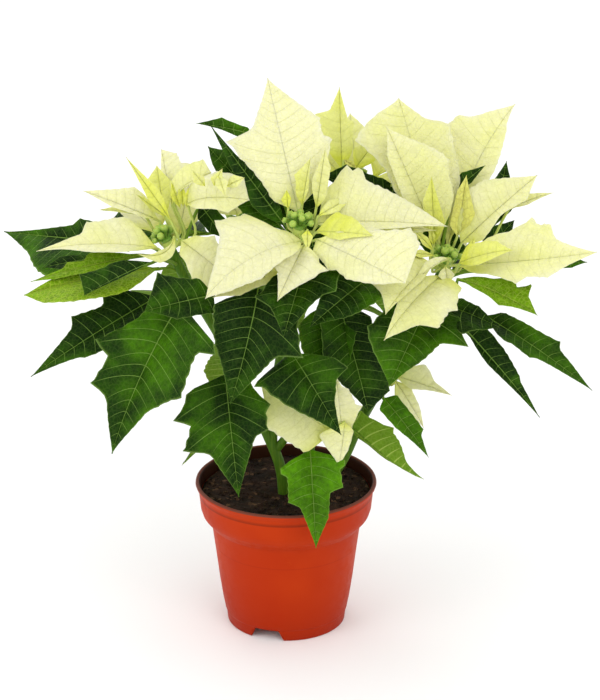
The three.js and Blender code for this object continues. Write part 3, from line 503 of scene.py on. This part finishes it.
def read_marks(tree):
    """The same four, as sockets in a material."""
    marks = add(tree, "ShaderNodeAttribute", attribute_name="blade").outputs
    return [*add(tree, "ShaderNodeSeparateColor", [(0, marks["Color"])]).outputs, marks["Alpha"]]


def faces_of(verts):
    return list({face for vert in verts for face in vert.link_faces})


def add_blade(bm, blade, tint, shade):
    """Two grids shaped to the upper and lower face, closed along their common edge."""
    uv = bm.loops.layers.uv.verify()
    marks = marks_of(bm)
    every = []
    for face_side in (0, 1):
        grid = bmesh.ops.create_grid(bm, x_segments=BLADE_GRID[0], y_segments=BLADE_GRID[1], size=1.0)
        verts = grid["verts"]
        faces = faces_of(verts)
        for face in faces:
            face.material_index = face_side
            for loop in face.loops:
                x, y, _ = loop.vert.co
                loop[uv].uv = (0.5 + 0.5 * x, 0.5 * (1 + y) * blade.pairs)
        for vert in verts:
            across, along = vert.co.x, 0.5 * (1 + vert.co.y)
            spot, normal, wide = blade.point(across, along)
            if face_side:
                thick = LEAF_THICKNESS * MM * min(1, 4 * (1 - abs(across)), 12 * along, 12 * (1 - along))
                spot = spot - normal * thick
            vert.co = spot
            vert[marks] = (tint, along, shade, wide * 10)
        if face_side:
            bmesh.ops.reverse_faces(bm, faces=faces)
        every += verts
    bmesh.ops.remove_doubles(bm, verts=every, dist=1e-7)
    for vert in every:
        if vert.is_valid:
            for edge in vert.link_edges:
                sides = {face.material_index for face in edge.link_faces}
                edge.smooth = len(sides) == 1


def add_tube(bm, spine, radii, tint, sides=STALK_SIDES):
    """A round bar along spine: a grid wrapped round it, with a closed end each side."""
    marks = marks_of(bm)
    count = len(spine)
    frames = []
    across = None
    for i, spot in enumerate(spine):
        run = (spine[min(i + 1, count - 1)] - spine[max(i - 1, 0)]).normalized()
        if across is None:
            across = run.orthogonal().normalized()
        across = (across - run * across.dot(run)).normalized()
        frames.append((spot, across, run.cross(across)))
    verts = bmesh.ops.create_grid(bm, x_segments=sides, y_segments=count - 1, size=1.0)["verts"]
    faces = faces_of(verts)
    for vert in verts:
        i = round(0.5 * (1 + vert.co.y) * (count - 1))
        turn = math.pi * (1 + vert.co.x)
        spot, one, other = frames[i]
        vert.co = spot + (one * math.cos(turn) + other * math.sin(turn)) * radii[i] * MM
        vert[marks] = (tint, i / (count - 1), 1, 1)
    bmesh.ops.remove_doubles(bm, verts=verts, dist=1e-7)
    verts = [vert for vert in verts if vert.is_valid]
    rims = list({edge for vert in verts for edge in vert.link_edges if edge.is_boundary})
    faces = [face for face in faces if face.is_valid]
    faces += bmesh.ops.holes_fill(bm, edges=rims, sides=0)["faces"]
    for face in faces:
        face.material_index = 2
    bmesh.ops.recalc_face_normals(bm, faces=faces)


def smooth_path(points, steps):
    """Points along a centripetal Catmull-Rom curve through points."""
    ends = [2 * points[0] - points[1]] + points + [2 * points[-1] - points[-2]]
    path = []
    for k in range(steps + 1):
        where = (len(points) - 1) * k / steps
        i = min(int(where), len(points) - 2)
        spots = ends[i:i + 4]
        knots = [0.0]
        for a, b in zip(spots, spots[1:]):
            knots.append(knots[-1] + math.sqrt((b - a).length))
        t = knots[1] + (knots[2] - knots[1]) * (where - i)
        for spans in ([(0, 1), (1, 2), (2, 3)], [(0, 2), (1, 3)], [(1, 2)]):
            joined = []
            for (a, b), (low, high) in zip(zip(spots, spots[1:]), spans):
                run = knots[high] - knots[low]
                joined.append(a * ((knots[high] - t) / run) + b * ((t - knots[low]) / run))
            spots = joined
        path.append(spots[0])
    return path


RIB_SHARES = (0.06, 0.16, 0.3, 0.45, 0.6, 0.75, 0.9)


def add_stalk(bm, blade, root, elbow, thickness, tint):
    """The leaf stalk, which runs on under the blade as its rib and thins towards the tip."""
    spine = smooth_path([root, elbow, blade.base], STALK_STEPS)
    radii = [thickness * (1.25 - 0.25 * min(1, k / 3)) for k in range(STALK_STEPS + 1)]
    lift = thickness * MM
    spine[-1] = spine[-1] - blade.frame(0)[1] * lift * 0.6
    for share in RIB_SHARES:
        spot, normal, _ = blade.point(0, share)
        rib = thickness * (1 - share) ** 0.8 * 0.8 + 0.12
        spine.append(spot - normal * (rib * 0.75 + 0.1) * MM)
        radii.append(rib)
    add_tube(bm, spine, radii, tint)


VEIN_STEP = 0.0062


def less_than_whole(tree, value):
    return maths(tree, "SUBTRACT", 1.0, value)


def vein_group():
    """Masks over a blade: its rib, side veins, fine net and thin margin, with its own tint and shade."""
    group = bpy.data.node_groups.new("leaf_veins", "ShaderNodeTree")
    for name, value in (("Rib Width", 0.0011), ("Vein Width", 0.0005), ("Net Scale", 330.0)):
        group.interface.new_socket(name, in_out="INPUT", socket_type="NodeSocketFloat").default_value = value
    for name in ("Rib", "Veins", "Net", "Margin", "Along", "Across", "Tint", "Shade"):
        group.interface.new_socket(name, in_out="OUTPUT", socket_type="NodeSocketFloat")
    given = group.nodes.new("NodeGroupInput").outputs
    result = group.nodes.new("NodeGroupOutput").inputs
    where = add(group, "ShaderNodeUVMap", uv_map="leaf_map").outputs[0]
    u, v, _ = add(group, "ShaderNodeSeparateXYZ", [(0, where)]).outputs
    tint, along, shade, decimetres = read_marks(group)
    across = maths(group, "ABSOLUTE", times(group, maths(group, "SUBTRACT", u, 0.5), 2.0))
    from_rib = times(group, across, times(group, decimetres, 0.1))
    rib_half = times(group, given["Rib Width"], less_than_whole(group, times(group, along, 0.8)))
    rib_edge = maths(group, "DIVIDE", from_rib, rib_half)
    rib = less_than_whole(group, ramp_between(group, rib_edge, 0.35, 0.75))
    beat = maths(group, "ABSOLUTE", maths(group, "SUBTRACT", maths(group, "FRACT", v), 0.5))
    from_vein = times(group, maths(group, "SUBTRACT", 0.5, beat), VEIN_STEP)
    vein_half = times(group, given["Vein Width"], less_than_whole(group, times(group, across, 0.6)))
    vein_edge = maths(group, "DIVIDE", from_vein, vein_half)
    vein = less_than_whole(group, ramp_between(group, vein_edge, 0.5, 1.0))
    fade = ramp_between(group, across, 0.7, 1.0, 1.0, 0.2)
    ends = times(group, ramp_between(group, along, 0.02, 0.06),
                 ramp_between(group, along, 0.9, 0.98, 1.0, 0.0))
    vein = times(group, vein, times(group, fade, ends))
    place = object_place(group)
    cells = add(group, "ShaderNodeTexVoronoi", [("Vector", place), ("Scale", given["Net Scale"])],
                feature="DISTANCE_TO_EDGE").outputs["Distance"]
    net = less_than_whole(group, ramp_between(group, cells, 0.0, 0.16))
    margin = ramp_between(group, across, 0.955, 0.995)
    for name, source in (("Rib", rib), ("Veins", vein), ("Net", net), ("Margin", margin), ("Along", along),
                         ("Across", across), ("Tint", tint), ("Shade", shade)):
        group.links.new(source, result[name])
    return group


leaf_veins = vein_group()


def blade_material(name, plain, strong, aged, veins, shares, rough, bump_depth, widths, see_through, shine):
    """A blade's finish: plain to strong as its tint goes to 1, aged beyond it, with veins in relief."""
    material, tree, shader = new_material(name)
    masks = add(tree, "ShaderNodeGroup", node_tree=leaf_veins)
    for key, value in zip(("Rib Width", "Vein Width", "Net Scale"), widths):
        masks.inputs[key].default_value = value
    masks = masks.outputs
    place = object_place(tree)
    clouds = noise_at(tree, place, 30.0, 2.0)
    mottle = noise_at(tree, place, 260.0, 4.0, 0.65)
    foot = ramp_between(tree, masks["Along"], 0.0, 0.3, shares["foot"], 0.0)
    past = maths(tree, "SUBTRACT", masks["Tint"], 1.0, clamp=True)
    tint = maths(tree, "ADD", masks["Tint"], foot, clamp=True)
    drift = ramp_between(tree, clouds, 0.35, 0.7, -shares["clouds"], shares["clouds"])
    tint = maths(tree, "ADD", tint, drift, clamp=True)
    colour = mixed(tree, past, mixed(tree, tint, plain, strong), aged)
    vein_colour = mixed(tree, past, *veins)
    spots = ramp_between(tree, mottle, 0.3, 0.7, 1 - shares["mottle"], 1 + shares["mottle"])
    level = times(tree, masks["Shade"], spots)
    grey = add(tree, "ShaderNodeCombineColor", [(0, level), (1, level), (2, level)]).outputs[0]
    colour = mixed(tree, 1.0, colour, grey, "MULTIPLY")
    net = maths(tree, "ADD", times(tree, past, shares["aged_net"]), shares["net"])
    colour = mixed(tree, times(tree, masks["Net"], net), colour, vein_colour)
    for mask in ("Veins", "Rib", "Margin"):
        colour = mixed(tree, times(tree, masks[mask], shares[mask.lower()]), colour, vein_colour)
    rough = ramp_between(tree, mottle, 0.3, 0.7, rough - 0.06, rough + 0.06)
    sunk = maths(tree, "ADD", masks["Rib"], times(tree, masks["Veins"], 0.8))
    sunk = maths(tree, "ADD", sunk, times(tree, masks["Net"], 0.25))
    relief = maths(tree, "SUBTRACT", times(tree, mottle, 0.5), sunk)
    raised(tree, shader, 0.6, bump_depth, relief)
    feed(tree, shader, [("Base Color", colour), ("Roughness", rough), ("Specular IOR Level", shine),
                        ("Subsurface Weight", see_through), ("Subsurface Radius", (1.0, 0.95, 0.3)),
                        ("Subsurface Scale", 0.0015)])
    return material


def stalk_material(name, plain, strong):
    """Smooth green bark or stalk skin, streaked along its length."""
    material, tree, shader = new_material(name)
    place = object_place(tree)
    tint = read_marks(tree)[0]
    long_ways = add(tree, "ShaderNodeMapping", [("Vector", place), ("Scale", (700, 700, 60))]).outputs[0]
    streaks = noise_at(tree, long_ways, 1.0, 3.0)
    colour = mixed(tree, tint, plain, strong)
    colour = mixed(tree, ramp_between(tree, streaks, 0.4, 0.7, 0, 0.35), colour, strong)
    feed(tree, shader, [("Base Color", colour), ("Roughness", 0.45), ("Specular IOR Level", 0.12),
                        ("Subsurface Weight", 0.1), ("Subsurface Scale", 0.002)])
    raised(tree, shader, 0.4, 0.0004, streaks)
    return material


green_upper = blade_material(
    "green_leaf_upper", (0.006, 0.024, 0.001), (0.070, 0.215, 0.001), (0.20, 0.33, 0.006),
    ((0.24, 0.40, 0.08), (0.50, 0.60, 0.05)),
    dict(foot=0.1, clouds=0.26, mottle=0.26, net=0.05, aged_net=0.6, veins=0.58, rib=0.8, margin=0.35),
    0.45, 0.0010, (0.0009, 0.00025, 360.0), 0.03, 0.06)
green_under = blade_material(
    "green_leaf_under", (0.10, 0.22, 0.012), (0.28, 0.42, 0.02), (0.30, 0.42, 0.02),
    ((0.45, 0.58, 0.12), (0.52, 0.62, 0.05)),
    dict(foot=0.1, clouds=0.1, mottle=0.1, net=0.12, aged_net=0.6, veins=0.6, rib=0.8, margin=0.2),
    0.55, 0.0006, (0.0013, 0.0007, 330.0), 0.05, 0.06)
green_stalk = stalk_material("green_stem", (0.045, 0.125, 0.006), (0.18, 0.30, 0.025))

chance = random.Random(21)
for side, stem in STEMS.items():
    bm = bmesh.new()
    bm.loops.layers.uv.new("leaf_map")
    paths = [[Vector(point) * MM for point in path] for path in stem["shoots"]]
    for i, path in enumerate(paths):
        thick = SHOOT_RADIUS if i else STEM_RADIUS
        spine = smooth_path(path, STEM_STEPS)
        radii = [thick * (1 - STEM_TAPER * k / STEM_STEPS) for k in range(STEM_STEPS + 1)]
        add_tube(bm, spine, radii, tint=0.15, sides=STEM_SIDES)
    track = [spot for path in paths for spot in smooth_path(path, TRACK_STEPS)[TRACK]]
    for leaf in stem["leaves"].values():
        blade = Blade(leaf, chance)
        below = blade.base - Vector((0, 0, ROOT_BELOW * MM))
        root = min(track, key=lambda spot: (spot - below).length)
        elbow = root.lerp(blade.base, ELBOW_ALONG)
        elbow += Vector((0, 0, ELBOW_LIFT * (root - blade.base).length))
        if "elbow" in leaf:
            elbow = Vector(leaf["elbow"]) * MM
        tint = leaf.get("tint", LEAF_TINT) + chance.uniform(-0.05, 0.05)
        add_blade(bm, blade, tint, chance.uniform(0.85, 1.15))
        add_stalk(bm, blade, root, elbow, LEAF_STALK, tint=0.7)
    piece = piece_from(bm, f"leafy_stem_{side}_leaves", [green_upper, green_under, green_stalk], 60)
    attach(piece, "root")
    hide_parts(f"leafy_stem_{side}")

# ---- flower heads ----
# Each shoot ends in a rosette of cream bracts, which are coloured leaves. They are thin and soft,
# yellower towards their stalks, and the young inner ones are lime green.

FRONT_BRACTS = dict(
    tall=cut((9, -36, 320), (-12, 0, 405), (-10, -75, 60), [(30, 31), (46, 38, 81), (61, 32)],
        [(16, 18), (47, 34), (60, 41, 55)], fold=0.1),
    left_large=cut((11, -50, 307), (-53, -88, 278), (-30, -50, 80), [(10, 15), (29, 46), (54, 52, 72)],
        [(27, 24), (57, 32), (80, 22)], arch=0.2, fold=0.2),
    front_small=cut((13, -57, 306), (-5, -98, 280), (0, -70, 70), [(30, 14), (56, 27, 68)],
        [(30, 32), (45, 52, 86), (66, 24)]),
    right_front=cut((21, -54, 308), (80, -88, 289), (-10, -75, 65),
        [(8, 16), (32, 26, 80), (50, 26), (82, 12)], [(30, 24), (76, 50), (93, 40)], fold=0.2),
    right_pale=cut((22, -38, 314), (110, -36, 311), (0, -50, 85), [(22, 26), (42, 28, 50)],
        [(8, 28), (23, 49, 85), (34, 46, 74), (65, 21)]),
    right_yellow=cut((19, -46, 311), (59, -70, 316), (0, -60, 80), [(52, 16)], [(28, 36), (65, 22)],
        fold=0.1, tint=0.8),
    upright_left=cut((11, -38, 324), (17, -36, 360), (-10, -100, 15), [(40, 8)], [(33, 18), (61, 26)],
        arch=0, tint=0.65),
    upright_right=cut((21, -34, 323), (27, -37, 367), (10, -100, 15), [(27, 13), (70, 13)], [(50, 15)],
        arch=0, tint=0.45),
    right_narrow=plain((22, -41, 320), (48, -24, 329), (10, -60, 70), 18, tint=0.55),
    olive_left=lance((4, -38, 323), (1, -32, 336), (-10, -90, 30), (55, 23), (52, 33), tint=1),
    lime_front=lance((15, -54, 315), (15, -64, 302), (0, -80, 60), (33, 27), (38, 24), tint=0.7),
    between_right=lance((28, -34, 309), (103, -24, 304), (0, -60, 80), (46, 19), (48, 8), tint=0.3),
    yellow_fold=cut((-1, -52, 291), (-48, -86, 278), (0, -60, 80), [(48, 2)], [(43, 24), (74, 20)],
        tint=0.35),
)
LEFT_BRACTS = dict(
    left_large=cut((-86, -16, 290), (-170, -30, 291), (0, -35, 100), [(29, 26), (57, 23, 50)], [(40, 26)],
        arch=0.08),
    left_upper=cut((-87, -2, 303), (-140, 5, 323), (-10, -70, 65), [(44, 26)], [(28, 6), (58, 9)]),
    back_yellow=lance((-83, 2, 304), (-89, 16, 338), (-10, -80, 50), (62, 27), (71, 25), tint=0.5),
    lime_spear=plain((-83, -12, 306), (-109, -6, 351), (20, -90, 40), 10, tint=0.7),
    back_pale=cut((-78, 0, 314), (-87, 40, 342), (0, -70, 70), [(42, 26), (80, 22)], [(36, 12)]),
    curled_over=cut((-77, -4, 317), (-50, -20, 344), (0, -70, 70), [(70, 3)],
        [(30, 22), (68, 30), (95, 26)], arch=0.25, tint=0.4),
    right_crumpled=cut((-67, -14, 319), (-24, -34, 329), (0, -80, 60), [(47, 21), (76, 28)],
        [(22, 24), (58, 38), (89, 30)], arch=0.3),
    hanging_curl=lance((-76, -22, 299), (-100, -46, 295), (10, -70, 70), (56, 8), (68, 24), sway=-0.3,
        arch=0, tint=0.5),
    right_front=cut((-71, -22, 296), (-33, -50, 275), (-10, -75, 65), [(20, 21), (62, 45, 82), (90, 44)],
        [(19, 19), (38, 32)]),
    back_left=usual((-88, 8, 290), (-122, 58, 300), (-30, 30, 100), 38),
    back_right=usual((-74, 8, 290), (-68, 52, 314), (10, 0, 100), 36),
    lime_edge=lance((-97, 4, 306), (-130, 14, 306), (-10, -50, 80), (56, 12), (54, 5), tint=0.6),
    heart_left=lance((-70, -12, 317), (-71, -14, 337), (0, -90, 40), (44, 16), (51, 18), stalk=False,
        tint=0.95),
    heart_right=lance((-68, -14, 317), (-64, -18, 336), (0, -80, 50), (56, 17), (49, 15), stalk=False,
        tint=0.9),
    heart_middle=lance((-72, -10, 315), (-78, -12, 335), (0, -80, 50), (52, 14), (55, 18), stalk=False,
        tint=0.95),
    frill_a=lance((-54, -34, 339), (-63, -38, 352), (0, -70, 60), (44, 20), (63, 36), stalk=False, tint=0.5),
    frill_b=lance((-48, -36, 340), (-42, -41, 354), (0, -80, 60), (58, 31), (40, 27), stalk=False, tint=0.4),
    frill_c=lance((-40, -38, 340), (-27, -43, 348), (0, -80, 60), (60, 30), (59, 31), stalk=False, tint=0.5),
    frill_d=lance((-45, -38, 349), (-40, -50, 337), (0, -80, 60), (50, 26), (50, 28), stalk=False, tint=0.3),
    yellow_left=lance((-86, -8, 305), (-103, -2, 323), (-10, -80, 50), (48, 14), (44, 12), tint=0.7),
)
RIGHT_BRACTS = dict(
    tall=cut((107, -16, 290), (69, -2, 371), (-10, -80, 60), [(41, 30), (57, 36), (81, 16)],
        [(47, 12), (78, 10)], arch=0.03),
    tall_lime=cut((106, -19, 290), (99, -28, 344), (0, -100, 15), [(38, 16)], [(44, 13), (67, 14)], arch=0,
        tint=0.8),
    tall_far_right=cut((112, -8, 288), (160, 46, 373), (-20, -70, 70), [(52, 14), (80, 7, 80)],
        [(48, 32), (74, 27, 75)], sway=-0.06, fold=0.2),
    tall_back=cut((106, -8, 288), (78, 30, 382), (0, -70, 70), [(46, 26), (72, 28), (80, 14)],
        [(51, 22), (77, 38), (93, 16, 82)], fold=0.15),
    right_upper=cut((121, -13, 291), (173, 0, 336), (10, -70, 70), [(20, 15), (46, 8), (74, 15)],
        [(16, 22), (37, 35), (57, 32)], arch=0.05),
    brown_veined=cut((117, -16, 295), (124, -6, 338), (0, -90, 40), [(42, 24)], [(21, 16), (73, 12)],
        arch=0, tint=1.5),
    right_large=cut((118, -30, 281), (208, -74, 306), (0, -55, 83), [(22, 14), (51, 30, 67), (71, 26)],
        [(29, 22), (51, 32, 78), (64, 24, 62)], arch=-0.02),
    right_yellow=cut((118, -41, 286), (153, -59, 302), (0, -60, 80), [(52, 30)], [(29, 25), (73, 18)],
        arch=0.1, tint=0.8),
    front_low=cut((107, -38, 276), (66, -90, 249), (-10, -70, 70), [(30, 12), (55, 14)],
        [(24, 34), (46, 48, 85), (70, 46, 60)], arch=0.16),
    left_low=cut((101, -36, 284), (67, -86, 266), (-20, -60, 80), [(15, 24), (42, 22), (76, 32, 67)],
        [(43, 12), (72, 8)], arch=0.12),
    back_left=usual((102, 4, 276), (92, 56, 296), (0, 30, 100), 36),
    back_right=usual((112, 6, 270), (118, 62, 268), (20, 30, 100), 34),
    lime_a=plain((101, -26, 290), (85, -30, 309), (0, -70, 70), 14, tint=0.8),
    lime_b=plain((105, -22, 291), (98, -22, 310), (0, -80, 60), 14, tint=0.8),
    lime_c=lance((102, -30, 288), (83, -40, 293), (0, -60, 80), (55, 14), (67, 22), tint=0.8),
    pale_front=lance((109, -38, 283), (110, -50, 273), (0, -80, 60), (55, 39), (56, 37), tint=0.2),
    lime_right=lance((117, -24, 293), (129, -24, 299), (0, -70, 70), (45, 38), (48, 18), tint=0.85),
    white_rim=lance((112, -36, 288), (86, -58, 278), (0, -70, 60), (59, 16), (72, 2), arch=0.25),
    back_edge=lance((154, 2, 311), (185, 4, 322), (0, -60, 80), (42, 12), (50, 15), tint=0.3),
)
BACK_RIGHT_BRACTS = dict(
    yellow_tall=cut((40, 60, 320), (38, 85, 374), (-10, -80, 50), [(30, 16), (55, 19, 60)],
        [(42, 24), (66, 32, 48)], tint=0.65),
    pale_right=plain((50, 56, 322), (66, 70, 342), (0, -70, 70), 30, arch=0, tint=0.7),
    drooping=plain((60, 52, 315), (86, 26, 309), (20, -40, 100), 24, arch=0.25, tint=0.6),
    back_middle=usual((50, 74, 312), (46, 108, 348), (0, 20, 100), 38),
    back_left=usual((40, 68, 312), (4, 104, 340), (-20, 0, 100), 36),
    back_right=usual((62, 68, 312), (112, 104, 330), (30, 20, 100), 36),
    lime_strip=lance((75, 14, 328), (63, 30, 359), (0, -70, 60), (53, 14), (52, 12), tint=0.7),
    brown_small=lance((41, 54, 330), (50, 48, 325), (0, -70, 60), (53, 29), (59, 23), tint=1.6),
)
BACK_LEFT_BRACTS = dict(
    left=usual((-42, 62, 287), (-88, 88, 318), (-30, -30, 100), 34),
    back=usual((-36, 70, 288), (-48, 110, 302), (-10, 30, 100), 42),
    back_right=usual((-24, 68, 290), (2, 108, 314), (20, 30, 100), 38),
    right=usual((-21, 56, 290), (4, 50, 318), (30, -50, 80), 34),
    upright=usual((-34, 50, 290), (-42, 36, 322), (-20, -70, 60), 34),
)
LOW_FRONT_BRACTS = dict(
    left_lobed=cut((33, -50, 166), (-17, -62, 206), (-10, -88, 38), [(40, 2)], [(21, 36), (75, 36, 70)],
        fold=0.15, tint=0.25),
    right_drooping=lance((40, -44, 162), (37, -53, 150), (10, -80, 50), (61, 28), (30, 40), fold=0.1),
    upright=cut((39, -50, 165), (34, -68, 216), (10, -85, 40), [(6, 13), (44, 30, 73), (75, 14, 56)],
        [(38, 8), (62, 7)], fold=0.2),
    right_lobe=cut((41, -57, 176), (37, -60, 144), (10, -85, 40), [(34, 52), (60, 31)],
        [(20, 21), (60, 14)], fold=0.1),
)
LOW_RIGHT_BRACTS = dict(
    right_upper=cut((76, 8, 184), (118, 8, 169), (0, -50, 80), [(32, 22)], [(44, 31), (64, 12)]),
    right_lower=cut((77, 3, 183), (98, -2, 148), (20, -70, 60), [(30, 26)], [(29, 16), (69, 10)]),
    back=plain((76, 18, 182), (92, 48, 190), (10, 30, 100), 34),
)
# A head stands on a shoot of a stem, with so many buds spread so far in millimetres.
HEADS = {
    "front": dict(stem="left", shoot=1, buds=9, spread=8, tint=0, bracts=FRONT_BRACTS),
    "left": dict(stem="left", shoot=0, buds=8, spread=6, tint=0.08, bracts=LEFT_BRACTS),
    "right": dict(stem="right", shoot=0, buds=8, spread=8, tint=0.2, bracts=RIGHT_BRACTS),
    "back_right": dict(stem="back", shoot=0, buds=5, spread=6, tint=0.3, bracts=BACK_RIGHT_BRACTS),
    "back_left": dict(stem="back", shoot=1, buds=5, spread=6, tint=0.05, bracts=BACK_LEFT_BRACTS),
    "low_front": dict(stem="left", shoot=2, buds=3, spread=4, tint=0.05, bracts=LOW_FRONT_BRACTS),
    "low_right": dict(stem="right", shoot=1, buds=3, spread=4, tint=0.05, bracts=LOW_RIGHT_BRACTS),
}

cream_upper = blade_material(
    "cream_bract_upper", (0.745, 0.735, 0.44), (0.65, 0.69, 0.085), (0.68, 0.64, 0.22),
    ((0.52, 0.53, 0.15), (0.36, 0.28, 0.05)),
    dict(foot=0.6, clouds=0.14, mottle=0.05, net=0.10, aged_net=0.5, veins=0.22, rib=0.32, margin=0.0),
    0.6, 0.0009, (0.0005, 0.00028, 300.0), 0.3, 0.10)
cream_under = blade_material(
    "cream_bract_under", (0.735, 0.72, 0.385), (0.64, 0.68, 0.085), (0.66, 0.62, 0.22),
    ((0.50, 0.51, 0.13), (0.36, 0.28, 0.05)),
    dict(foot=0.6, clouds=0.14, mottle=0.05, net=0.12, aged_net=0.5, veins=0.34, rib=0.5, margin=0.0),
    0.65, 0.0008, (0.0008, 0.0004, 300.0), 0.3, 0.10)
lime_stalk = stalk_material("lime_stalk", (0.40, 0.50, 0.09), (0.62, 0.68, 0.2))

HUB_HEIGHT, GAP, BASE_CLEARANCE = 6, 0.3, 4
HUB_RADII = (3.4, 4.0, 4.2, 4.3, 4.3, 4.1, 3.6)


def head_place(head):
    """Where a head stands: the end of its shoot, and the way that end points."""
    shoot = STEMS[head["stem"]]["shoots"][head["shoot"]]
    end = Vector(shoot[-1])
    return end * MM, (end - Vector(shoot[-2])).normalized()


for name, head in HEADS.items():
    bm = bmesh.new()
    bm.loops.layers.uv.new("leaf_map")
    end, axis = head_place(head)
    hub = [end + axis * (GAP + HUB_HEIGHT * k / (len(HUB_RADII) - 1)) * MM for k in range(len(HUB_RADII))]
    add_tube(bm, hub, HUB_RADII, tint=0.1, sides=STEM_SIDES)
    heart = end + axis * (GAP + 0.4 * HUB_HEIGHT) * MM
    for bract in head["bracts"].values():
        out = Vector(bract["start"]) * MM - heart
        rise = out.dot(axis)
        out -= axis * rise
        out.length = max(out.length, (head["spread"] + BASE_CLEARANCE) * MM)
        start = heart + out + axis * rise
        elbow = heart + 0.8 * out + axis * min(0, 0.5 * rise)
        blade = Blade({**bract, "start": start / MM}, chance)
        tint = bract.get("tint", head["tint"]) + chance.uniform(-0.04, 0.06)
        add_blade(bm, blade, tint, chance.uniform(0.97, 1.02))
        if bract["stalk"]:
            add_stalk(bm, blade, heart, elbow, BRACT_STALK, tint=0.3)
    rosette = piece_from(bm, f"{name}_bract_rosette", [cream_upper, cream_under, lime_stalk], 60)
    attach(rosette, "root")
    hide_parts(f"bracts_{name}")

# ---- cyathia ----
# The true flowers: small green cups on short stalks, packed in the middle of each rosette, each with
# a pale rim of lobes round its mouth.

bud_green, tree, shader = new_material("bud_green")
place = object_place(tree)
up_bud = read_marks(tree)[0]
grain = noise_at(tree, place, 900.0, 3.0)
colour = mixed(tree, up_bud, (0.15, 0.30, 0.03), (0.42, 0.56, 0.10))
colour = mixed(tree, ramp_between(tree, grain, 0.5, 0.75, 0, 0.3), colour, (0.07, 0.17, 0.02))
feed(tree, shader, [("Base Color", colour), ("Roughness", 0.35), ("Specular IOR Level", 0.25),
                    ("Subsurface Weight", 0.15), ("Subsurface Scale", 0.002)])
raised(tree, shader, 0.3, 0.0003, grain)

DOME_RISES, DOME_RADII = (0, 1.2, 2), (3.7, 3.6, 2.6)
BUD_RADIUS, BUD_STEPS, LOBES = 2.6, 15, 5


def lcg(state):
    """The even spread of numbers from 0 to 1 that also places the solid buds."""
    while True:
        state = (state * 1664525 + 1013904223) % 2 ** 32
        yield state / 2 ** 32


for k, (name, head) in enumerate(HEADS.items()):
    draw = lcg(11 + k)
    bm = bmesh.new()
    marks = marks_of(bm)
    bm.loops.layers.uv.new("leaf_map")
    end, axis = head_place(head)
    turn = Vector((0, 0, 1)).rotation_difference(axis).to_matrix()
    seat = end + axis * (HUB_HEIGHT + 2 * GAP) * MM
    dome = [seat + axis * rise * MM for rise in DOME_RISES]
    add_tube(bm, dome, DOME_RADII, tint=0.1, sides=STEM_SIDES)
    for i in range(head["buds"] + head["buds"] // 2):
        outer = i % 2 == 1
        reach = 0 if i == 0 else head["spread"] * (1 if outer else 0.5)
        about = math.tau * i / max(1, head["buds"] - 1) + 0.3 * next(draw)
        tall = (5 if outer else 8) + 1.5 * next(draw)
        size = BUD_RADIUS * (0.85 + 0.3 * next(draw))
        if i >= head["buds"]:
            reach, tall, size = head["spread"] + 1.5, 4.2, 0.72 * size
        lean = math.atan2(reach, tall)
        stalk = math.hypot(reach, tall)
        profile = [(0, 1.6), (0.8, 1.6), (0.7, stalk - size), (0.55 * size, stalk - 0.55 * size),
                   (0.93 * size, stalk), (size, stalk + 0.3 * size), (0.9 * size, stalk + 0.75 * size),
                   (0.66 * size, stalk + 1.05 * size), (0.5 * size, stalk + 1.12 * size),
                   (0.36 * size, stalk + 1.02 * size), (0, stalk + 0.95 * size)]
        before = set(bm.verts)
        spin_round(bm, profile, BUD_STEPS)
        cup = [vert for vert in bm.verts if vert not in before]
        for vert in cup:
            up_cup = (vert.co.z / MM - stalk) / size
            vert[marks] = (max(0, min(1, 0.25 + 0.6 * up_cup)), 0.5, 1, 1)
            if up_cup > 0.9 and vert.co.xy.length > 0.45 * size * MM:
                lobe = 1 + 0.12 * math.cos(LOBES * math.atan2(vert.co.y, vert.co.x))
                vert.co.x *= lobe
                vert.co.y *= lobe
                vert.co.z += 0.10 * size * MM * math.cos(LOBES * math.atan2(vert.co.y, vert.co.x))
        matrix = turn @ Matrix.Rotation(about, 3, "Z") @ Matrix.Rotation(lean, 3, "Y")
        bmesh.ops.rotate(bm, cent=(0, 0, 0), matrix=matrix, verts=cup)
        bmesh.ops.translate(bm, vec=seat, verts=cup)
        bmesh.ops.remove_doubles(bm, verts=cup, dist=1e-6)
        cup = [vert for vert in cup if vert.is_valid]
        bmesh.ops.recalc_face_normals(bm, faces=faces_of(cup))
    for face in bm.faces:
        face.material_index = 0
    cluster = piece_from(bm, f"{name}_cyathia", [bud_green], 60)
    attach(cluster, "root")
    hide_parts(f"cyathia_{name}")

# ---- floor and lights ----
# A plain white floor under soft studio lamps.

bm = bmesh.new()
bmesh.ops.create_grid(bm, x_segments=1, y_segments=1, size=8.0)
bmesh.ops.translate(bm, vec=(0, 0, -0.0002), verts=bm.verts)
white_floor, tree, shader = new_material("white_floor")
feed(tree, shader, [("Base Color", (0.95, 0.95, 0.95, 1)), ("Roughness", 0.9)])
floor = piece_from(bm, "floor", [white_floor])

world = bpy.data.worlds.new("studio")
world.use_nodes = True
world.node_tree.nodes["Background"].inputs[0].default_value = (1, 1, 1, 1)
world.node_tree.nodes["Background"].inputs[1].default_value = 1.0
bpy.context.scene.world = world

for name, spot, size, power in (
    ("key_lamp", (0.9, -1.9, 2.0), 1.4, 15),
    ("fill_lamp", (-1.6, -1.2, 1.3), 1.2, 10),
    ("back_lamp", (-0.6, 1.6, 1.9), 1.2, 6),
):
    lamp = bpy.data.lights.new(name, "AREA")
    lamp.energy = power
    lamp.size = size
    holder = bpy.data.objects.new(name, lamp)
    holder.location = spot
    holder.rotation_euler = (Vector((0, 0, 0.22)) - Vector(spot)).to_track_quat("-Z", "Y").to_euler()
    bpy.context.scene.collection.objects.link(holder)
